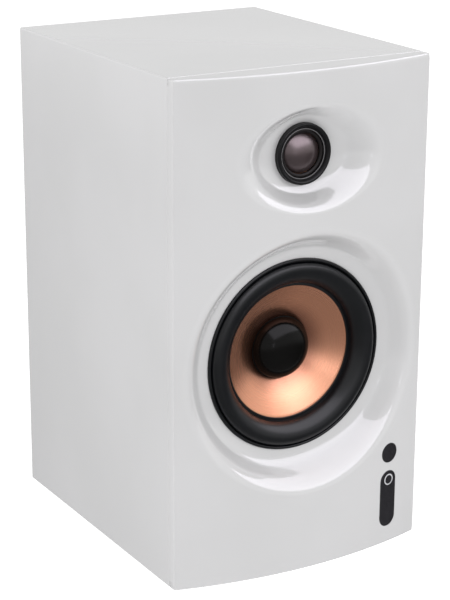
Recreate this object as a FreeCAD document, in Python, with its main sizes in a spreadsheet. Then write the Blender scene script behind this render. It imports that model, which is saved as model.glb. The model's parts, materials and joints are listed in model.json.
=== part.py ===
import FreeCAD, Part
import os
import re
import Sketcher
from FreeCAD import Placement, Rotation, Vector

# A powered two-way bookshelf speaker. X is across, +Y goes back, +Z is up, and the base of the feet is at
# Z = 0. Depths in the outlines are counted back from the front vertical corners of the cabinet.
SIZES = {
    # cabinet
    "cab_width": 184.0, "cab_height": 325.0, "cab_depth": 210.0, "front_y": -106.8, "wall": 10.0,
    "front_bulge": 13.2, "baffle_edge": 6.7, "baffle_back": 20.0, "slip": 0.2,
    "brace_front": 95.0, "brace_thick": 9.0, "brace_rim": 26.0,
    "foot_height": 3.0, "foot_radius": 8.0, "foot_inset": 22.0,
    "wad_half_width": 70.0, "wad_front": 36.0, "wad_back": 90.0, "wad_low": 214.0, "wad_high": 306.0,
    # woofer
    "woofer_height": 139.0, "dish_radius": 86.5, "dish_floor": 8.2, "seat_radius": 63.3, "seat_level": 13.0,
    "driver_hole": 57.0, "flange_radius": 63.1, "flange_front": 10.6, "flange_back": 12.1,
    "screw_circle": 60.4, "woofer_head": 1.75, "shank_radius": 1.1, "pilot_radius": 1.15,
    "lip_front": 9.8, "groove_radius": 60.7, "groove_level": 9.0, "rim_front": 7.1, "channel_level": 9.6,
    "roll_outer": 56.8, "roll_inner": 46.0, "roll_join": 5.2, "roll_radius": 9.7, "flank_radius": 4.1,
    "roll_skin": 0.9, "cone_rim_level": 14.6, "cone_rim": 46.2,
    "cone_top": 43.6, "neck_radius": 13.05, "neck_level": 29.0, "cone_wall": 0.7,
    "cap_radius": 20.3, "cap_base": 25.45, "cap_apex": 13.5, "cap_wall": 0.6,
    "former_inner": 12.6, "former_outer": 13.0, "former_end": 58.0, "coil_radius": 13.6,
    "spider_level": 36.0, "spider_wall": 0.6, "spider_wave": 3.0, "spider_bend": 2.2, "shelf_radius": 31.0,
    "motor_front": 46.0, "top_plate_thick": 5.0, "top_plate_radius": 36.0, "gap_radius": 14.1,
    "magnet_thick": 13.0, "magnet_radius": 40.0, "magnet_bore": 18.0, "yoke_thick": 5.0,
    "pole_radius": 12.2, "vent_radius": 4.0, "window_outer": 52.5, "window_inner": 40.5, "window_angle": 29.0,
    # tweeter
    "tweeter_height": 270.6, "guide_half_width": 70.4, "guide_half_height": 33.5, "ring_radius": 19.2,
    "guide_floor": 3.0, "bezel_front": -0.6, "ring_shelf": 3.8, "ring_bore": 16.0,
    "tweeter_wall": 8.0, "tweeter_recess": 35.0,
    "face_radius": 34.0, "face_front": 9.0, "face_back": 11.0, "tweeter_circle": 31.9,
    "dome_radius": 12.6, "dome_base": 4.3, "dome_apex": -0.7, "dome_wall": 0.4,
    # front windows
    "ir_across": 66.2, "ir_height": 63.8, "ir_radius": 6.75, "touch_across": 65.7, "touch_height": 31.6,
    "touch_half_width": 6.9, "touch_half_length": 19.75, "window_back": -3.2,
    "standby_across": 66.2, "standby_height": 44.9, "standby_radius": 3.85, "standby_line": 0.85,
    "standby_back": -5.4, "board_across": 66.0, "board_half": 10.0, "board_front": 4.0, "board_thick": 1.6,
    # back of the cabinet
    "plate_half_width": 62.0, "plate_low": 20.0, "plate_high": 214.0, "plate_thick": 2.0, "plate_lap": 10.0,
    "plate_corner": 5.0, "port_height": 262.0, "port_bore": 20.0, "port_front": 112.0, "port_mouth": 29.0,
    "port_flange": 35.0, "port_hole": 31.0, "back_reach": 226.8,
    "knob_across": 26.0, "knob_height": 190.0, "knob_radius": 8.0, "shaft_radius": 3.0,
    "rca_height": 158.0, "rca_first": 12.0, "rca_second": 32.0, "rca_radius": 4.15,
    "aux_across": -22.0, "aux_bore": 1.8, "aux_reach": 215.0,
    "block_height": 116.0, "block_half_width": 22.0, "lever_across": 10.0, "lever_half": 7.0,
    "lever_pivot_height": 129.0, "lever_pivot_depth": 212.5, "lever_round": 1.8, "hinge_pin": 1.0,
    "pin_play": 0.05,
    "inlet_across": -22.0, "power_height": 58.0, "inlet_half_width": 8.2, "inlet_half_height": 4.3,
    "pin_radius": 1.2, "pin_offset": 4.3,
    "switch_across": 24.0, "rocker_depth": 209.0, "rocker_tilt": 12.0,
    "board_level": 188.0, "transformer_depth": 145.0, "transformer_radius": 33.0, "transformer_bore": 11.0,
}
WOOFER_SCREWS = 6
TWEETER_SCREWS = 4
SPIDER_WAVES = 6
KNOB_GRIPS = 18
LEAD = {"across": 6, "radius": 0.6, "start": -24, "bend": -39.5, "end": -46}
HEATSINK = {"fins": 9, "fin": 2.0, "half_width": 30.0}
TINY = 1e-9

doc = FreeCAD.newDocument("bookshelf_speaker")
sheet = doc.addObject("Spreadsheet::Sheet", "dims")
for row, (alias, size) in enumerate(SIZES.items(), start=1):
    sheet.set(f"A{row}", str(size))
    sheet.setAlias(f"A{row}", alias)
doc.recompute()

parts = []


def linked(text):
    """The text with each size's name pointed at its cell in the sheet."""
    return re.sub(r"[a-z]\w*", lambda word: "dims." + word[0] if word[0] in SIZES else word[0], str(text))


def value(text):
    return float(sheet.evalExpression(linked(text)))


# ---- sketches: every point and radius is tied to the sheet


def new_sketch(body, name, role, level="0"):
    """A sketch on one of the body's own planes, moved along that plane's normal to a level."""
    plane = next(feature for feature in body.Origin.OriginFeatures if feature.Role == role)
    sketch = body.newObject("Sketcher::SketchObject", name)
    sketch.AttachmentSupport = [(plane, "")]
    sketch.MapMode = "FlatFace"
    sketch.AttachmentOffset = Placement(Vector(0, 0, value(level)), Rotation())
    sketch.setExpression("AttachmentOffset.Base.z", linked(level))
    return sketch


def tie_point(sketch, edge, end, across, along):
    """Ties a point of the sketch to its distances from the two axes."""
    for kind, text, axis in (("DistanceX", across, -2), ("DistanceY", along, -1)):
        if abs(value(text)) < TINY:
            sketch.addConstraint(Sketcher.Constraint("PointOnObject", edge, end, axis))
        else:
            number = sketch.addConstraint(Sketcher.Constraint(kind, -1, 1, edge, end, value(text)))
            sketch.setExpression(f"Constraints[{number}]", linked(text))


def tie_radius(sketch, edge, radius):
    number = sketch.addConstraint(Sketcher.Constraint("Radius", edge, value(radius)))
    sketch.setExpression(f"Constraints[{number}]", linked(radius))


def arc_between(start, end, radius):
    """An arc that bulges to the left of travel where its radius is positive, and right where negative."""
    chord = end - start
    half = chord.Length / 2
    rise = abs(radius) - max(radius * radius - half * half, 0) ** 0.5
    left = Vector(-chord.y, chord.x, 0).normalize()
    return Part.Arc(start, (start + end) / 2 + left * (rise if radius > 0 else -rise), end)


def outline(sketch, corners):
    """A closed outline. A corner is (across, along), with a third term where an arc leads to the next."""
    spots = [Vector(value(corner[0]), value(corner[1]), 0) for corner in corners]
    ends = []
    for number, corner in enumerate(corners):
        start = spots[number]
        end = spots[(number + 1) % len(spots)]
        if len(corner) == 3:
            edge = sketch.addGeometry(arc_between(start, end, value(corner[2])))
        else:
            edge = sketch.addGeometry(Part.LineSegment(start, end))
        away = [sketch.getPoint(edge, end_number).distanceToPoint(start) for end_number in (1, 2)]
        ends.append((edge, 1, 2) if away[0] < away[1] else (edge, 2, 1))
    for number, corner in enumerate(corners):
        edge, first, last = ends[number]
        following, following_first, _ = ends[(number + 1) % len(ends)]
        sketch.addConstraint(Sketcher.Constraint("Coincident", edge, last, following, following_first))
        tie_point(sketch, edge, first, corner[0], corner[1])
        if len(corner) == 3:
            tie_radius(sketch, edge, f"abs({corner[2]})")


def path(corners):
    return lambda sketch: outline(sketch, corners)


def rect(left, right, low, high):
    return path([(left, low), (right, low), (right, high), (left, high)])


def discs(spots, radius):
    """Circles of one radius at several (across, along) spots."""
    def draw(sketch):
        for across, along in spots:
            spot = Vector(value(across), value(along), 0)
            edge = sketch.addGeometry(Part.Circle(spot, Vector(0, 0, 1), value(radius)))
            tie_point(sketch, edge, 3, across, along)
            tie_radius(sketch, edge, radius)
    return draw


def slot(across, along, half_width, half_length, upright=True):
    """A slot with round ends, standing up or lying across. Each end is two quarter arcs."""
    reach = f"({half_length}) - ({half_width})"

    def spot(side, run):
        aside = f"{side} * ({half_width})"
        onward = f"{run} * ({reach})"
        return (f"{across} + {aside}", f"{along} + {onward}") if upright else (
            f"{across} + {onward}", f"{along} + {aside}")

    def crown(sense):
        tip = f"{sense} * ({half_length})"
        return (across, f"{along} + {tip}") if upright else (f"{across} + {tip}", along)

    def draw(sketch):
        bulge = f"-({half_width})" if upright else half_width
        corners = []
        for sense in (1, -1):
            corners += [(*spot(sense, sense), bulge), (*crown(sense), bulge), spot(-sense, sense)]
        outline(sketch, corners)
    return draw


# ---- features


LEVELS = {"X": ("YZ_Plane", 1), "Y": ("XZ_Plane", -1), "Z": ("XY_Plane", 1)}


def extrude(body, name, axis, low, high, draw, cut=False):
    """A pad or a pocket of a sketch, between two levels along an axis."""
    role, sense = LEVELS[axis]
    start = low if (sense > 0) != cut else high
    sketch = new_sketch(body, name + "_sketch", role, f"{sense} * ({start})")
    draw(sketch)
    step = body.newObject("PartDesign::Pocket" if cut else "PartDesign::Pad", name)
    step.Profile = sketch
    step.setExpression("Length", linked(f"({high}) - ({low})"))
    return step


def turn(body, name, corners, height="0", cut=False):
    """A revolution or a groove about the Y direction, of an outline given as (radius, depth)."""
    sketch = new_sketch(body, name + "_sketch", "XY_Plane", height)
    outline(sketch, corners)
    step = body.newObject("PartDesign::Groove" if cut else "PartDesign::Revolution", name)
    step.Profile = sketch
    step.ReferenceAxis = (sketch, ["V_Axis"])
    step.Angle = 360
    return step


def around(body, name, step, count):
    """Repeats a feature around the body's Y axis."""
    pattern = body.newObject("PartDesign::PolarPattern", name)
    pattern.Originals = [step]
    pattern.Axis = (next(item for item in body.Origin.OriginFeatures if item.Role == "Y_Axis"), [""])
    pattern.Angle = 360
    pattern.Occurrences = count
    body.Tip = pattern
    return pattern


def dress(body, name, kind, step, size, pick):
    """A fillet or a chamfer on the edges that pick chooses."""
    doc.recompute()
    edges = [f"Edge{number}" for number, edge in enumerate(step.Shape.Edges, start=1) if pick(edge)]
    soft = body.newObject("PartDesign::" + kind, name)
    soft.Base = (step, edges)
    if kind == "Fillet":
        soft.Radius = size
    else:
        soft.Size = size
    return soft


def runs_along(edge, axis):
    """True for a straight edge parallel to the axis."""
    return edge.Curve.TypeId == "Part::GeomLine" and abs(abs(edge.Curve.Direction.dot(axis)) - 1) < TINY


def sub_part(name, across="0", height="0"):
    """An empty body whose origin is at the front corners' depth, at a height above the cabinet's base."""
    body = doc.addObject("PartDesign::Body", name)
    body.Label = name
    body.setExpression("Placement.Base.x", linked(across))
    body.setExpression("Placement.Base.y", linked("front_y"))
    body.setExpression("Placement.Base.z", linked(f"foot_height + {height}"))
    parts.append(body)
    return body


def turned_part(name, height, corners):
    body = sub_part(name, height=height)
    turn(body, name + "_turn", corners)
    return body


# ---- cabinet

HALF = "cab_width / 2"
INSIDE = "cab_width / 2 - wall"
FRONT_ARC = "(cab_width * cab_width / 4 + front_bulge * front_bulge) / (2 * front_bulge)"
AHEAD = "-front_bulge - 4"


def cabinet_panels():
    """Four panels, mitred where they meet, wrap the sides from the baffle's joint to the back."""
    inner_top = "cab_height - wall"
    mitres = {
        "left_panel": [(f"-{HALF}", "0"), (f"-({INSIDE})", "wall"), (f"-({INSIDE})", inner_top),
                       (f"-{HALF}", "cab_height")],
        "right_panel": [(HALF, "0"), (HALF, "cab_height"), (INSIDE, inner_top), (INSIDE, "wall")],
        "top_panel": [(f"-{HALF}", "cab_height"), (f"-({INSIDE})", inner_top), (INSIDE, inner_top),
                      (HALF, "cab_height")],
        "bottom_panel": [(f"-{HALF}", "0"), (HALF, "0"), (INSIDE, "wall"), (f"-({INSIDE})", "wall")],
    }
    for name, corners in mitres.items():
        extrude(sub_part(name), name + "_pad", "Y", "baffle_edge", "cab_depth", path(corners))


def back_panel():
    body = sub_part("back_panel")
    front = "cab_depth - wall"
    extrude(body, "back_board", "Y", front, "cab_depth",
            rect(f"-({INSIDE})", INSIDE, "wall", "cab_height - wall"))
    opening = "plate_half_width - plate_lap"
    extrude(body, "amplifier_opening", "Y", front, "cab_depth",
            rect(f"-({opening})", opening, "plate_low + plate_lap", "plate_high - plate_lap"), cut=True)
    extrude(body, "port_opening", "Y", front, "cab_depth", discs([("0", "port_height")], "port_hole"),
            cut=True)
    extrude(body, "plate_pilots", "Y", front, "cab_depth", discs(PLATE_SCREWS, "pilot_radius"), cut=True)


def cabinet_brace():
    """An upright frame that ties the four panels together at mid depth."""
    body = sub_part("cabinet_brace")
    back = "brace_front + brace_thick"
    extrude(body, "brace_board", "Y", "brace_front", back,
            rect(f"-({INSIDE})", INSIDE, "wall", "cab_height - wall"))
    half = f"{INSIDE} - brace_rim"
    extrude(body, "brace_window", "Y", "brace_front", back,
            rect(f"-({half})", half, "wall + brace_rim", "cab_height - wall - brace_rim"), cut=True)


def rubber_feet():
    body = sub_part("rubber_feet")
    side = f"{HALF} - foot_inset"
    depths = ("foot_inset", "cab_depth - foot_inset")
    spots = [(f"{sign}({side})", depth) for sign in ("", "-") for depth in depths]
    step = extrude(body, "foot_discs", "Z", "-foot_height", "0", discs(spots, "foot_radius"))
    dress(body, "foot_edges", "Chamfer", step, 0.6, lambda edge: edge.BoundBox.ZMax < -1)


def acoustic_wadding():
    body = sub_part("acoustic_wadding")
    step = extrude(body, "wadding_block", "Y", "wad_front", "wad_back",
                   rect("-wad_half_width", "wad_half_width", "wad_low", "wad_high"))
    dress(body, "wadding_corners", "Fillet", step, 12, lambda edge: runs_along(edge, Vector(0, 1, 0)))


def cut_ahead_of_front(body, name, height="cab_height"):
    """Trims a body to the bowed front of the baffle."""
    corners = [(f"-{HALF}", "0", f"-({FRONT_ARC})"), (HALF, "0"), (HALF, AHEAD), (f"-{HALF}", AHEAD)]
    extrude(body, name, "Z", "0", height, path(corners), cut=True)


def ellipse(sketch, half_width, half_height):
    """An ellipse centred on the vertical axis at the tweeter's height."""
    centre = Vector(0, value("tweeter_height"), 0)
    edge = sketch.addGeometry(Part.Ellipse(centre, value(half_width), value(half_height)))
    sketch.exposeInternalGeometry(edge)
    tie_point(sketch, edge, 3, "0", "tweeter_height")
    sketch.addConstraint(Sketcher.Constraint("Horizontal", edge + 1))
    for line, half in ((edge + 1, half_width), (edge + 2, half_height)):
        number = sketch.addConstraint(Sketcher.Constraint("Distance", line, 2 * value(half)))
        sketch.setExpression(f"Constraints[{number}]", linked(f"2 * ({half})"))


def tweeter_waveguide(body):
    """The dish around the tweeter runs straight from a circle at its floor to an ellipse at the front."""
    mouth = new_sketch(body, "guide_mouth", "XZ_Plane", "front_bulge")
    ellipse(mouth, "guide_half_width", "guide_half_height")
    floor = new_sketch(body, "guide_floor_circle", "XZ_Plane", "-guide_floor")
    discs([("0", "tweeter_height")], "ring_radius + slip")(floor)
    dish = body.newObject("PartDesign::SubtractiveLoft", "guide_dish")
    dish.Profile = mouth
    dish.Sections = [floor]
    dish.Ruled = True
    extrude(body, "tweeter_hole", "Y", "guide_floor - 1", "baffle_back",
            discs([("0", "tweeter_height")], "ring_radius + slip"), cut=True)
    extrude(body, "tweeter_back_recess", "Y", "tweeter_wall", "baffle_back",
            discs([("0", "tweeter_height")], "tweeter_recess"), cut=True)


def polar_spots(count, radius, height, start):
    """Spots evenly spaced around an axis, the first at a start angle."""
    turns = [start + 360 * number / count for number in range(count)]
    return [(f"{radius} * cos({angle})", f"{height} + {radius} * sin({angle})") for angle in turns]


def front_baffle():
    """A board with a bowed front, a tongue that enters the cabinet, and the two drivers' dishes and holes."""
    body = sub_part("front_baffle")
    extrude(body, "baffle_face", "Z", "0", "cab_height", path([
        (f"-{HALF}", "0", f"-({FRONT_ARC})"), (HALF, "0"), (HALF, "baffle_edge"),
        (f"-{HALF}", "baffle_edge")]))
    tongue = f"{INSIDE} - slip"
    extrude(body, "baffle_tongue", "Y", "baffle_edge", "baffle_back",
            rect(f"-({tongue})", tongue, "wall + slip", "cab_height - wall - slip"))
    turn(body, "woofer_dish", [
        ("0", AHEAD), ("dish_radius", AHEAD), ("dish_radius", "-front_bulge", "-34"),
        ("seat_radius", "dish_floor"), ("seat_radius", "seat_level"), ("driver_hole", "seat_level"),
        ("driver_hole", "baffle_back + 1"), ("0", "baffle_back + 1")], "woofer_height", cut=True)
    tweeter_waveguide(body)
    woofer_screw_spots = polar_spots(WOOFER_SCREWS, "screw_circle", "woofer_height", 30)
    tweeter_screw_spots = polar_spots(TWEETER_SCREWS, "tweeter_circle", "tweeter_height", 45)
    window = [("ir_across", "ir_height")]

    def cut(name, front, back, draw):
        extrude(body, name, "Y", front, back, draw, cut=True)

    cut("woofer_pilots", "seat_level", "baffle_back", discs(woofer_screw_spots, "pilot_radius"))
    cut("tweeter_pilots", "guide_floor", "tweeter_wall", discs(tweeter_screw_spots, "pilot_radius"))
    cut("control_pocket", "0", "baffle_back",
        rect("board_across - board_half - 2", "board_across + board_half + 2", "wall + 4", "ir_height + 13"))
    cut("ir_recess", AHEAD, "window_back", discs(window, "ir_radius"))
    cut("ir_sight_hole", "window_back", "0", discs(window, "ir_radius - 2.5"))
    cut("touch_recess", AHEAD, "window_back",
        slot("touch_across", "touch_height", "touch_half_width", "touch_half_length"))
    cut("touch_sensor_slot", "window_back", "0",
        slot("touch_across", "touch_height", "touch_half_width - 2.5", "touch_half_length - 3.5"))


# ---- front controls


def ir_window():
    body = sub_part("ir_window")
    extrude(body, "ir_disc", "Y", AHEAD, "window_back", discs([("ir_across", "ir_height")], "ir_radius"))
    cut_ahead_of_front(body, "ir_face")


def touch_window():
    body = sub_part("touch_window")
    extrude(body, "touch_pill", "Y", AHEAD, "window_back",
            slot("touch_across", "touch_height", "touch_half_width", "touch_half_length"))
    cut_ahead_of_front(body, "touch_face")
    extrude(body, "ring_channel", "Y", AHEAD, "standby_back", standby_outline, cut=True)


def standby_outline(sketch):
    spot = [("standby_across", "standby_height")]
    discs(spot, "standby_radius")(sketch)
    discs(spot, "standby_radius - standby_line")(sketch)


def standby_ring():
    body = sub_part("standby_ring")
    extrude(body, "ring_guide", "Y", AHEAD, "standby_back", standby_outline)
    cut_ahead_of_front(body, "ring_face")


def control_board():
    body = sub_part("control_board")
    extrude(body, "control_card", "Y", "board_front", "board_front + board_thick",
            rect("board_across - board_half", "board_across + board_half", "wall + 6", "ir_height + 11"))


def ir_receiver():
    body = sub_part("ir_receiver")
    extrude(body, "receiver_block", "Y", "board_front - 2", "board_front",
            rect("ir_across - 3.5", "ir_across + 3.5", "ir_height - 3.5", "ir_height + 3.5"))
    extrude(body, "receiver_lens", "Y", "board_front - 3.5", "board_front - 2",
            discs([("ir_across", "ir_height")], "2.6"))


# ---- woofer: every piece turns about the driver's axis, and depths are given as (radius, depth)


def woofer_basket():
    body = turned_part("woofer_basket", "woofer_height", [
        ("roll_outer - 0.8", "flange_front"), ("flange_radius", "flange_front"),
        ("flange_radius", "flange_back"), ("driver_hole - 0.4", "flange_back"), ("38.2", "spider_level"),
        ("33", "motor_front"), ("24", "motor_front"), ("24", "motor_front - 1.4"),
        ("31.8", "motor_front - 1.4"), ("35.2", "spider_level + 2"), ("shelf_radius", "spider_level + 2"),
        ("shelf_radius", "spider_level + spider_wall"), ("36.4", "spider_level + spider_wall"),
        ("roll_outer - 1.5", "flange_back")])
    side = "sin(window_angle)"
    rise = "cos(window_angle)"
    window = extrude(body, "basket_window", "Y", "flange_back + 0.6", "spider_level - 0.4", path([
        (f"-window_outer * {side}", f"-window_outer * {rise}", "-window_outer"),
        (f"window_outer * {side}", f"-window_outer * {rise}"),
        (f"window_inner * {side}", f"-window_inner * {rise}", "window_inner"),
        (f"-window_inner * {side}", f"-window_inner * {rise}")]), cut=True)
    around(body, "basket_windows", window, 4)
    extrude(body, "basket_screw_holes", "Y", "flange_front", "flange_back",
            discs(polar_spots(WOOFER_SCREWS, "screw_circle", "0", 30), "pilot_radius"), cut=True)


def woofer_frame_pieces():
    """The foam gasket behind the flange, and the trim ring that covers the screws.

    The ring has a rim, a groove and a rounded flank that the surround's roll carries on from.
    """
    turned_part("woofer_gasket", "woofer_height", [
        ("driver_hole + 0.2", "flange_back"), ("screw_circle - 1.3", "flange_back"),
        ("screw_circle - 1.3", "seat_level"), ("driver_hole + 0.2", "seat_level")])
    turned_part("woofer_trim_ring", "woofer_height", [
        ("driver_hole", "lip_front"), ("driver_hole", "roll_join", "-flank_radius"),
        ("groove_radius", "groove_level"), ("groove_radius + 0.5", "groove_level"),
        ("groove_radius + 0.7", "rim_front + 0.3"), ("flange_radius - 0.6", "rim_front"),
        ("flange_radius", "rim_front + 0.7"), ("flange_radius", "flange_front"),
        ("flange_radius - 0.8", "flange_front"), ("flange_radius - 0.8", "channel_level"),
        ("screw_circle - 1.85", "channel_level"), ("screw_circle - 1.85", "lip_front")])


def woofer_screws():
    body = sub_part("woofer_screws", height="woofer_height")
    spots = polar_spots(WOOFER_SCREWS, "screw_circle", "0", 30)
    extrude(body, "woofer_screw_shanks", "Y", "flange_front", "baffle_back - 1", discs(spots, "shank_radius"))
    extrude(body, "woofer_screw_heads", "Y", "channel_level + 0.1", "flange_front",
            discs(spots, "woofer_head"))


def woofer_surround():
    """The half roll between the trim ring and the cone, with a foot under the ring."""
    turned_part("woofer_surround", "woofer_height", [
        ("screw_circle - 2", "lip_front"), ("driver_hole", "lip_front"),
        ("driver_hole", "roll_join", "roll_radius"), ("roll_inner", "cone_rim_level - 0.8"),
        ("cone_top + 0.2", "cone_rim_level - 0.8"), ("cone_top + 0.2", "cone_rim_level"),
        ("roll_inner + roll_skin", "cone_rim_level", "roll_skin - roll_radius"),
        ("driver_hole - roll_skin", "roll_join + roll_skin"), ("driver_hole - roll_skin", "flange_front"),
        ("screw_circle - 2", "flange_front")])


def woofer_cone():
    turned_part("woofer_cone", "woofer_height", [
        ("cone_rim", "cone_rim_level"), ("cone_rim", "cone_rim_level + cone_wall"),
        ("cone_top - 0.4", "cone_rim_level + cone_wall"), ("neck_radius", "neck_level + cone_wall + 0.2"),
        ("neck_radius", "neck_level"), ("cone_top", "cone_rim_level")])


def woofer_dust_cap():
    rise = "cap_base - cap_apex"
    outer = f"(cap_radius * cap_radius + ({rise}) * ({rise})) / (2 * ({rise}))"
    turned_part("woofer_dust_cap", "woofer_height", [
        ("0", "cap_apex"), ("0", "cap_apex + cap_wall", f"-({outer} - cap_wall)"),
        ("cap_radius - 0.7", "cap_base + 0.3"), ("cap_radius", "cap_base", outer)])


def woofer_coil():
    turned_part("woofer_coil_former", "woofer_height", [
        ("former_inner", "neck_level + 0.2"), ("former_outer", "neck_level + 0.2"),
        ("former_outer", "former_end"), ("former_inner", "former_end")])
    turned_part("woofer_voice_coil", "woofer_height", [
        ("former_outer", "motor_front - 3"), ("coil_radius", "motor_front - 3"),
        ("coil_radius", "motor_front + top_plate_thick + 3"),
        ("former_outer", "motor_front + top_plate_thick + 3")])


def woofer_spider():
    """A disc pressed into rings of shallow waves, from the coil former to the basket's shelf."""
    low = "spider_level"
    high = "spider_level + spider_wall"
    start = "former_outer + 1"
    crests = [f"{start} + {number} * spider_wave" for number in range(SPIDER_WAVES + 1)]
    bends = [("" if number % 2 == 0 else "-") + "spider_bend" for number in range(SPIDER_WAVES)]
    returns = ["-" + bend if bend[0] != "-" else bend[1:] for bend in bends]
    corners = [("former_outer + 0.05", low)]
    corners += [(crest, low, bend) for crest, bend in zip(crests, bends)]
    corners += [(crests[-1], low), ("shelf_radius + 5.2", low), ("shelf_radius + 5.2", high)]
    corners += [(crest, high, bend) for crest, bend in zip(crests[:0:-1], returns[::-1])]
    corners += [(crests[0], high), ("former_outer + 0.05", high)]
    turned_part("woofer_spider", "woofer_height", corners)


def woofer_motor():
    """The ferrite ring between a top plate and a yoke, whose pole stands inside the coil."""
    plate_back = "motor_front + top_plate_thick"
    magnet_back = f"{plate_back} + magnet_thick"
    turned_part("woofer_top_plate", "woofer_height", [
        ("gap_radius", "motor_front"), ("top_plate_radius", "motor_front"), ("top_plate_radius", plate_back),
        ("gap_radius", plate_back)])
    turned_part("woofer_magnet", "woofer_height", [
        ("magnet_bore", plate_back), ("magnet_radius - 1", plate_back),
        ("magnet_radius", f"{plate_back} + 1"),
        ("magnet_radius", f"{magnet_back} - 1"), ("magnet_radius - 1", magnet_back),
        ("magnet_bore", magnet_back)])
    turned_part("woofer_yoke", "woofer_height", [
        ("vent_radius", "motor_front"), ("pole_radius", "motor_front"), ("pole_radius", magnet_back),
        ("top_plate_radius", magnet_back), ("top_plate_radius", f"{magnet_back} + yoke_thick"),
        ("vent_radius", f"{magnet_back} + yoke_thick")])


def woofer_wiring():
    """A tag strip on the top plate's edge, and two braids from the cone's back to it."""
    strip = sub_part("woofer_terminal_strip", height="woofer_height")
    extrude(strip, "strip_card", "Y", "motor_front", "motor_front + 1.6",
            rect("-11", "11", "-top_plate_radius - 14", "-top_plate_radius - 0.3"))
    extrude(strip, "strip_tags", "Y", "motor_front + 1.6", "motor_front + 7", path([
        ("-8", "-top_plate_radius - 12"), ("8", "-top_plate_radius - 12"), ("8", "-top_plate_radius - 11"),
        ("-8", "-top_plate_radius - 11")]))
    leads = doc.addObject("Part::Feature", "woofer_tinsel_leads")
    leads.Label = "woofer_tinsel_leads"
    shapes = []
    for side in (-LEAD["across"], LEAD["across"]):
        start = Vector(side, value("neck_level - 1"), LEAD["start"])
        middle = Vector(side, value("spider_level - 7.5"), LEAD["bend"])
        end = Vector(side, value("motor_front - 0.25"), LEAD["end"])
        spine = Part.Wire(Part.Arc(start, middle, end).toShape())
        section = Part.Wire(Part.Circle(start, spine.Edges[0].tangentAt(0), LEAD["radius"]).toShape())
        shapes.append(spine.makePipeShell([section], True, False))
    leads.Shape = Part.makeCompound(shapes)
    leads.Placement = Placement(Vector(0, value("front_y"), value("foot_height + woofer_height")), Rotation())
    parts.append(leads)


# ---- tweeter: depths are given as (radius, depth) about its own axis


def tweeter_face():
    body = turned_part("tweeter_face_ring", "tweeter_height", [
        ("ring_bore", "ring_shelf"), ("ring_bore", "bezel_front + 2.2"),
        ("ring_bore + 0.8", "bezel_front + 0.4"),
        ("ring_radius - 1.2", "bezel_front"), ("ring_radius - 0.3", "bezel_front + 0.8"),
        ("ring_radius", "guide_floor"),
        ("ring_radius", "face_front"), ("face_radius", "face_front"), ("face_radius", "face_back"),
        ("ring_bore - 1", "face_back"), ("ring_bore - 1", "ring_shelf")])
    extrude(body, "face_screw_holes", "Y", "face_front", "face_back",
            discs(polar_spots(TWEETER_SCREWS, "tweeter_circle", "0", 45), "pilot_radius"), cut=True)
    turned_part("tweeter_gasket", "tweeter_height", [
        ("ring_radius + 0.6", "tweeter_wall"), ("tweeter_circle - 1.9", "tweeter_wall"),
        ("tweeter_circle - 1.9", "face_front"), ("ring_radius + 0.6", "face_front")])


def tweeter_screws():
    body = sub_part("tweeter_screws", height="tweeter_height")
    spots = polar_spots(TWEETER_SCREWS, "tweeter_circle", "0", 45)
    extrude(body, "tweeter_screw_shanks", "Y", "guide_floor + 0.5", "face_back", discs(spots, "shank_radius"))
    extrude(body, "tweeter_screw_heads", "Y", "face_back", "face_back + 1.6", discs(spots, "woofer_head"))


def tweeter_diaphragm():
    """A soft dome, its half-roll surround and the coil that drives it."""
    rise = "dome_base - dome_apex"
    outer = f"(dome_radius * dome_radius + ({rise}) * ({rise})) / (2 * ({rise}))"
    turned_part("tweeter_dome", "tweeter_height", [
        ("0", "dome_apex"), ("0", "dome_apex + dome_wall", f"-({outer} - dome_wall)"),
        ("dome_radius - dome_wall", "dome_base"), ("dome_radius", "dome_base", outer)])
    turned_part("tweeter_surround", "tweeter_height", [
        ("ring_bore - 0.1", "ring_shelf - 0.6"), ("ring_bore - 0.9", "ring_shelf - 0.6", "1.3"),
        ("dome_radius + 0.1", "ring_shelf"), ("dome_radius + 0.1", "ring_shelf + 0.4"),
        ("dome_radius + 0.3", "ring_shelf + 0.4", "-1.05"), ("ring_bore - 1.2", "ring_shelf - 0.1"),
        ("ring_bore - 0.1", "ring_shelf - 0.1")])
    turned_part("tweeter_voice_coil", "tweeter_height", [
        ("dome_radius - 0.3", "dome_base + 0.05"), ("dome_radius + 0.1", "dome_base + 0.05"),
        ("dome_radius + 0.1", "face_back + 2.5"), ("dome_radius - 0.3", "face_back + 2.5")])


def tweeter_motor():
    turned_part("tweeter_top_plate", "tweeter_height", [
        ("dome_radius + 0.5", "face_back"), ("29", "face_back"), ("29", "face_back + 3"),
        ("dome_radius + 0.5", "face_back + 3")])
    turned_part("tweeter_magnet", "tweeter_height", [
        ("17", "face_back + 3"), ("29", "face_back + 3"), ("30", "face_back + 4"), ("30", "face_back + 11"),
        ("29", "face_back + 12"), ("17", "face_back + 12")])
    turned_part("tweeter_yoke", "tweeter_height", [
        ("0", "face_back"), ("dome_radius - 0.7", "face_back"), ("dome_radius - 0.7", "face_back + 12"),
        ("28", "face_back + 12"), ("28", "face_back + 16"), ("0", "face_back + 16")])


# ---- back of the cabinet

PLATE_FACE = "cab_depth + plate_thick"
PLATE_SCREWS = [(f"{sign}(plate_half_width - 5)", height) for sign in ("", "-")
                for height in ("plate_low + 5", "(plate_low + plate_high) / 2", "plate_high - 5")]
PLATE_SCREWS += [("0", "plate_low + 5"), ("0", "plate_high - 5")]
KNOB_SPOTS = [("-knob_across", "knob_height"), ("knob_across", "knob_height")]
RCA_SPOTS = [("rca_first", "rca_height"), ("rca_second", "rca_height")]


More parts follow.
